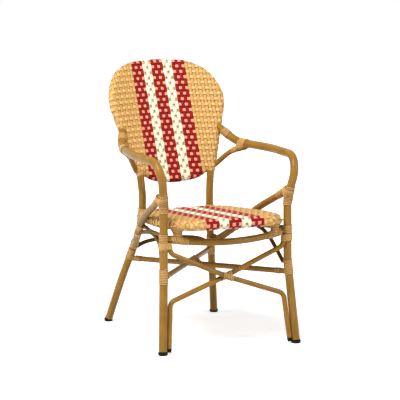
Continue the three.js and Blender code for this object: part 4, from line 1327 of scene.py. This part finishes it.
class ARMCHAIR_OT_stage(bpy.types.Operator):
    """Set up the floor, the lamps, the world and the camera"""

    bl_idname = "armchair.stage"
    bl_label = "Stage"

    def execute(self, context):
        scene, s = context.scene, context.scene.armchair_stage
        scene.view_settings.view_transform = "Standard"
        self.floor(s)
        self.world(scene, s)
        lamp("Key_Lamp", (-1.7, -1.3, 3.5), 2.0, s.key)
        lamp("Side_Lamp", (-3.0, 0.3, 1.1), 1.4, s.side)
        lamp("Fill_Lamp", (2.2, -2.6, 1.8), 2.2, s.fill)
        azimuth, elevation = math.radians(-s.azimuth), math.radians(s.elevation)
        back = Vector((math.sin(azimuth) * math.cos(elevation), -math.cos(azimuth) * math.cos(elevation),
                       math.sin(elevation)))
        data = bpy.data.cameras.new("Camera")
        data.lens, data.sensor_width = s.lens, 36.0
        data.shift_x, data.shift_y = -1.0 / PHOTO_PIXELS, -1.2 / PHOTO_PIXELS
        data.clip_end = 100
        camera = new_object("Camera", data)
        camera.location = Vector((0, CENTRE_SHIFT[1], AIM_HEIGHT)) + back * s.distance
        camera.rotation_euler = (-back).to_track_quat("-Z", "Y").to_euler()
        scene.camera = camera
        return {"FINISHED"}

    def floor(self, s):
        """A matt floor that glows to the camera more with distance, up to the white of the backdrop."""
        size = 14.0
        mesh = bpy.data.meshes.new("Floor")
        mesh.from_pydata([(-size, -size, 0), (size, -size, 0), (size, size, 0), (-size, size, 0)], [],
                         [(0, 1, 2, 3)])
        material, g, shader = new_material("Floor")
        far = g.vector("LENGTH", g.place(), output="Value")
        g.feed(shader, {"Base Color": rgba(s.floor), "Roughness": 0.9, "Specular IOR Level": 0.1,
                        "Emission Color": (1, 1, 1, 1),
                        "Emission Strength": g.product(g.seen(), g.spread(far, 0.45, 2.2, 0.56, 1.3))})
        mesh.materials.append(material)
        new_object("Floor", mesh)

    def world(self, scene, s):
        world = bpy.data.worlds.new("Studio")
        scene.world = world
        world.use_nodes = True
        g = Graph(world.node_tree)
        g.tree.nodes.clear()
        glow = g.add("ShaderNodeBackground", {"Color": (1, 1, 1, 1),
                                              "Strength": g.spread(g.seen(), 0.0, 1.0, s.ambient, 1.0)})
        g.node("ShaderNodeOutputWorld", {0: glow})


# ---------------------------------------------------------------- add-on

STEPS = (ARMCHAIR_OT_legs_and_arms, ARMCHAIR_OT_under_frame, ARMCHAIR_OT_windings, ARMCHAIR_OT_bindings,
         ARMCHAIR_OT_backrest, ARMCHAIR_OT_seat, ARMCHAIR_OT_feet, ARMCHAIR_OT_stage)
SETTINGS = {"armchair_tubes": TubeSettings, "armchair_windings": WindingSettings,
            "armchair_weave": WeaveSettings, "armchair_feet": FootSettings, "armchair_stage": StageSettings}


class ARMCHAIR_PT_parts(bpy.types.Panel):
    """The armchair's parts in the sidebar"""

    bl_idname = "ARMCHAIR_PT_parts"
    bl_label = "Rattan armchair"
    bl_space_type = "VIEW_3D"
    bl_region_type = "UI"
    bl_category = "Armchair"

    def draw(self, context):
        for step in STEPS:
            self.layout.operator(step.bl_idname)
        for title in SETTINGS:
            settings = getattr(context.scene, title)
            box = self.layout.box()
            for prop in settings.bl_rna.properties:
                if prop.identifier not in ("rna_type", "name"):
                    box.prop(settings, prop.identifier)


def register():
    for group in (*SETTINGS.values(), *STEPS, ARMCHAIR_PT_parts):
        bpy.utils.register_class(group)
    for title, group in SETTINGS.items():
        setattr(bpy.types.Scene, title, bpy.props.PointerProperty(type=group))


def unregister():
    for title in SETTINGS:
        delattr(bpy.types.Scene, title)
    for group in (ARMCHAIR_PT_parts, *reversed(STEPS), *reversed(SETTINGS.values())):
        bpy.utils.unregister_class(group)


def main():
    register()
    for step in STEPS:
        area, label = step.bl_idname.split(".")
        getattr(getattr(bpy.ops, area), label)()


if __name__ == "__main__":
    main()
